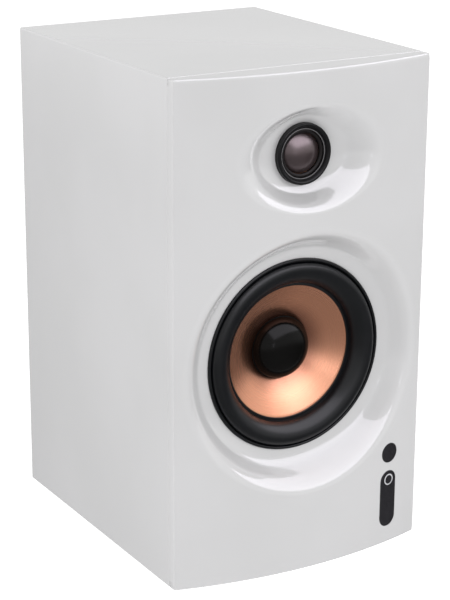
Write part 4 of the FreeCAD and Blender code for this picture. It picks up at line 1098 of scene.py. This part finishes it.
def paddedWadding():
    # a block with crowned faces: each direction's cosine and sine are raised to a power below one, then
    # slow waves of different pitch lift and sink the surface like loose fibre
    low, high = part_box("acoustic_wadding")
    half = np.array(high - low) / 2 * wadding["swell"]
    centre = np.array(high + low) / 2
    turn = fullTurn(120)[None, :]
    rise = np.linspace(-math.pi / 2, math.pi / 2, 61)[:, None]

    def swollen(wave):
        return np.sign(wave) * np.abs(wave) ** wadding["roundness"]

    level = swollen(np.cos(rise))
    unit = np.stack([level * swollen(np.cos(turn)), level * swollen(np.sin(turn)),
                     swollen(np.sin(rise)) * np.ones_like(turn)], axis=-1)
    x, y, z = unit[..., :1], unit[..., 1:2], unit[..., 2:]
    lump = (np.sin(x * 7 + 1.3) * np.sin(y * 5 + 0.4) * np.sin(z * 6 + 2.1)
            + 0.5 * np.sin(x * 17) * np.sin(z * 15 + 0.7))
    points = centre + unit * (half - (1.5 - lump) * wadding["lumps"] * mm)
    made = makeObject("fibreWadding", points, gridFaces(61, 120, wrapCols=True), 60)
    stand(made, "acoustic_wadding")
    return made


paddedWadding()
print("hidden soft pieces ready")

# ---------- back of the cabinet

rear = {
    "plateFace": backDepth + 2.0,
    "portHeight": placeOf("bass_port")[1], "portBore": 20.0, "portStart": 112.0, "portMouth": 29.0,
    "portFlange": 35.0, "portProud": 1.8, "portFlare": 14.0, "portWall": 2.0, "portCollar": 10.7,
    "knobRadius": 8.0, "knobTop": 226.8, "shaftRadius": 3.0, "shaftDepth": 10.5,
    "grips": 18, "gripDeep": 0.55,
    "pointer": (0.45, 1.2, 5.0),      # half width, start and end
    "tickReach": (10.6, 12.4), "tickExtra": 0.9, "tickCount": 11, "tickWidth": 0.55, "tickTurn": 150,
    "screwRadius": 2.6, "screwRise": 1.65, "screwDeep": 8.0, "crossDeep": 0.75, "crossHalf": (0.34, 1.45),
}
inkPaint = moulded("printedInk", (0.62, 0.62, 0.60), 0.5, 0.3)


def portTube():
    # a tube whose bore opens in a quarter ellipse at the back and a small round at the front
    swing = np.linspace(0, math.pi / 2, 22)
    bore, mouth, flange = rear["portBore"], rear["portMouth"], rear["portFlange"]
    start, collar = rear["portStart"], rear["portCollar"]
    throat = backDepth - rear["portFlare"]
    proud = backDepth + rear["portProud"]
    outer = bore + rear["portWall"]
    flare = np.stack([mouth - (mouth - bore) * np.cos(swing),
                      throat + (proud - throat) * np.sin(swing)], axis=-1)
    lip = rounded([(mouth, proud), (flange, proud, 1.4), (flange, backDepth), (bore + collar, backDepth)])[1:]
    outside = [(bore + collar, backDepth - 0.2), (outer, throat), (outer, start + 6.0), (bore + 4.4, start),
               (bore + 3.0, start)]
    front = arcLine((bore + 3.0, start), (bore, start + 3.0), -0.87, 7)
    profile = np.concatenate([flare, lip, outside, front[1:]])
    return stand(lathe("portTube", profile, 0, rear["portHeight"], 160, sharp=40), "bass_port")


def toneKnob(node, name):
    # a knob whose radius dips at each grip, with a rounded rim and a printed pointer
    across, high = placeOf(node)
    top, radius, shaft, plate = (rear[key] for key in ("knobTop", "knobRadius", "shaftRadius", "plateFace"))
    end = backDepth - rear["shaftDepth"]
    profile = rounded([(0.0, end), (shaft, end), (shaft, plate + 1.0), (radius, plate + 1.0, 0.5),
                       (radius, top, 1.3), (radius - 2.2, top, 0.4), (radius - 2.8, top - 0.35, 0.4),
                       (0.0, top - 0.35)], 6)

    def grip(rows, depth, turn):
        wave = 0.5 + 0.5 * np.cos(turn * rear["grips"])
        fade = np.clip((depth - plate - 2.6) / 1.2, 0, 1) * np.clip((rows - radius + 1.6) / 1.2, 0, 1)
        return rows - rear["gripDeep"] * fade * (1 - wave) ** 1.5, depth

    made = stand(lathe(name, profile, across, high, 216, wobble=grip, sharp=45), node)
    half, start, tip = rear["pointer"]
    line = rounded([(-half, start, 0.4), (half, start, 0.4), (half, tip, 0.4), (-half, tip, 0.4)], 6)
    rows = [np.stack([across + line[:, 0], np.full(len(line), depth), high + line[:, 1]], axis=-1)
            for depth in (top - 0.6, top - 0.3, top - 0.3)]
    rows[2] = np.broadcast_to(rows[2].mean(0), rows[2].shape)
    pointer = gridObject(name + "Pointer", rows)
    pointer.data.materials.append(inkPaint)
    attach(pointer, bodyOf[node])
    return made


def dialMarks():
    # short printed strokes on an arc round each knob, longer at the ends and the middle
    angles = np.radians(np.linspace(-rear["tickTurn"], rear["tickTurn"], rear["tickCount"]))
    inner, outer = rear["tickReach"]
    points, faces = [], []
    for node in ("bass_knob", "treble_knob"):
        across, high = placeOf(node)
        for number, angle in enumerate(angles):
            reach = outer + (rear["tickExtra"] if number % 5 == 0 else 0.0)
            out = np.array([math.sin(angle), math.cos(angle)])
            side = np.array([out[1], -out[0]]) * rear["tickWidth"] / 2
            flat = np.array([out * inner - side, out * inner + side, out * reach + side, out * reach - side])
            base = len(points)
            for depth in (rear["plateFace"] - 0.05, rear["plateFace"] + 0.04):
                points += [(across + x, depth, high + z) for x, z in flat]
            faces += [(base, base + 1, base + 2, base + 3), (base + 7, base + 6, base + 5, base + 4)]
            faces += [(base + k, base + (k + 1) % 4, base + 4 + (k + 1) % 4, base + 4 + k) for k in range(4)]
    made = makeObject("dialMarks", spot(points), faces, 30)
    made.data.materials.append(inkPaint)
    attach(made, "enclosure")


def plateScrews():
    # pan heads with a cross recess: the head falls from its crown to its rim, and drops inside the cross
    low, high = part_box("amp_plate_screws")
    size = rear["screwRadius"]
    left, right = low.x / mm + size, high.x / mm - size
    bottom, top = (low.z - baseZ) / mm + size, (high.z - baseZ) / mm - size
    places = [(x, z) for x in (left, right) for z in (bottom, (bottom + top) / 2, top)]
    places += [(0.0, bottom), (0.0, top)]
    radius = np.linspace(0, 1, 22)[:, None] * size
    turn = fullTurn(48)[None, :]
    x, z = radius * np.cos(turn), radius * np.sin(turn)
    crown = rear["screwRise"] * np.sqrt(np.clip(1 - (radius / size) ** 2.6, 0, 1)) + 0 * turn
    arm = np.minimum(np.abs(x), np.abs(z))
    armHalf, armLength = rear["crossHalf"]
    cross = np.clip((armHalf - arm) / 0.12, 0, 1) * np.clip((armLength - radius) / 0.25, 0, 1)
    lift = crown - rear["crossDeep"] * cross
    sheets = []
    for number, (across, height) in enumerate(places):
        tilt = 0.7 * number
        head = np.stack([across + x * math.cos(tilt) - z * math.sin(tilt), rear["plateFace"] + lift,
                         height + x * math.sin(tilt) + z * math.cos(tilt)], axis=-1)
        shank = [head.mean((0, 1)) + (head[-1] - head[-1].mean(0)) * scale for scale in (0.42, 0.42, 0.0)]
        end = backDepth - rear["screwDeep"]
        for ring, depth in zip(shank, (rear["plateFace"], end, end)):
            ring[:, 1] = depth
        sheets.append(np.concatenate([head, np.array(shank)]))
    return stand(sheetsObject("crossHeadScrews", sheets, 40), "amp_plate_screws")


portTube()
toneKnob("bass_knob", "bassKnob")
toneKnob("treble_knob", "trebleKnob")
dialMarks()
plateScrews()
softEdges = {
    "back_panel": 0.2, "amp_plate": 0.35, "terminal_block": 0.45, "terminal_lever_red": 0.5,
    "terminal_lever_black": 0.5, "mains_inlet": 0.35, "inlet_pins": 0.15, "switch_frame": 0.35,
    "mains_rocker": 0.45, "rca_shells": 0.2, "rca_inserts": 0.15, "aux_jack": 0.25, "rubber_feet": 0.4,
    "amp_heatsink": 0.25, "amp_board": 0.15, "control_board": 0.15, "woofer_basket": 0.25, "woofer_yoke": 0.3,
    "woofer_top_plate": 0.3, "tone_pots": 0.25, "cabinet_brace": 0.4,
}
for node, width in softEdges.items():
    stand(softened(node, width), node)
print("back ready")
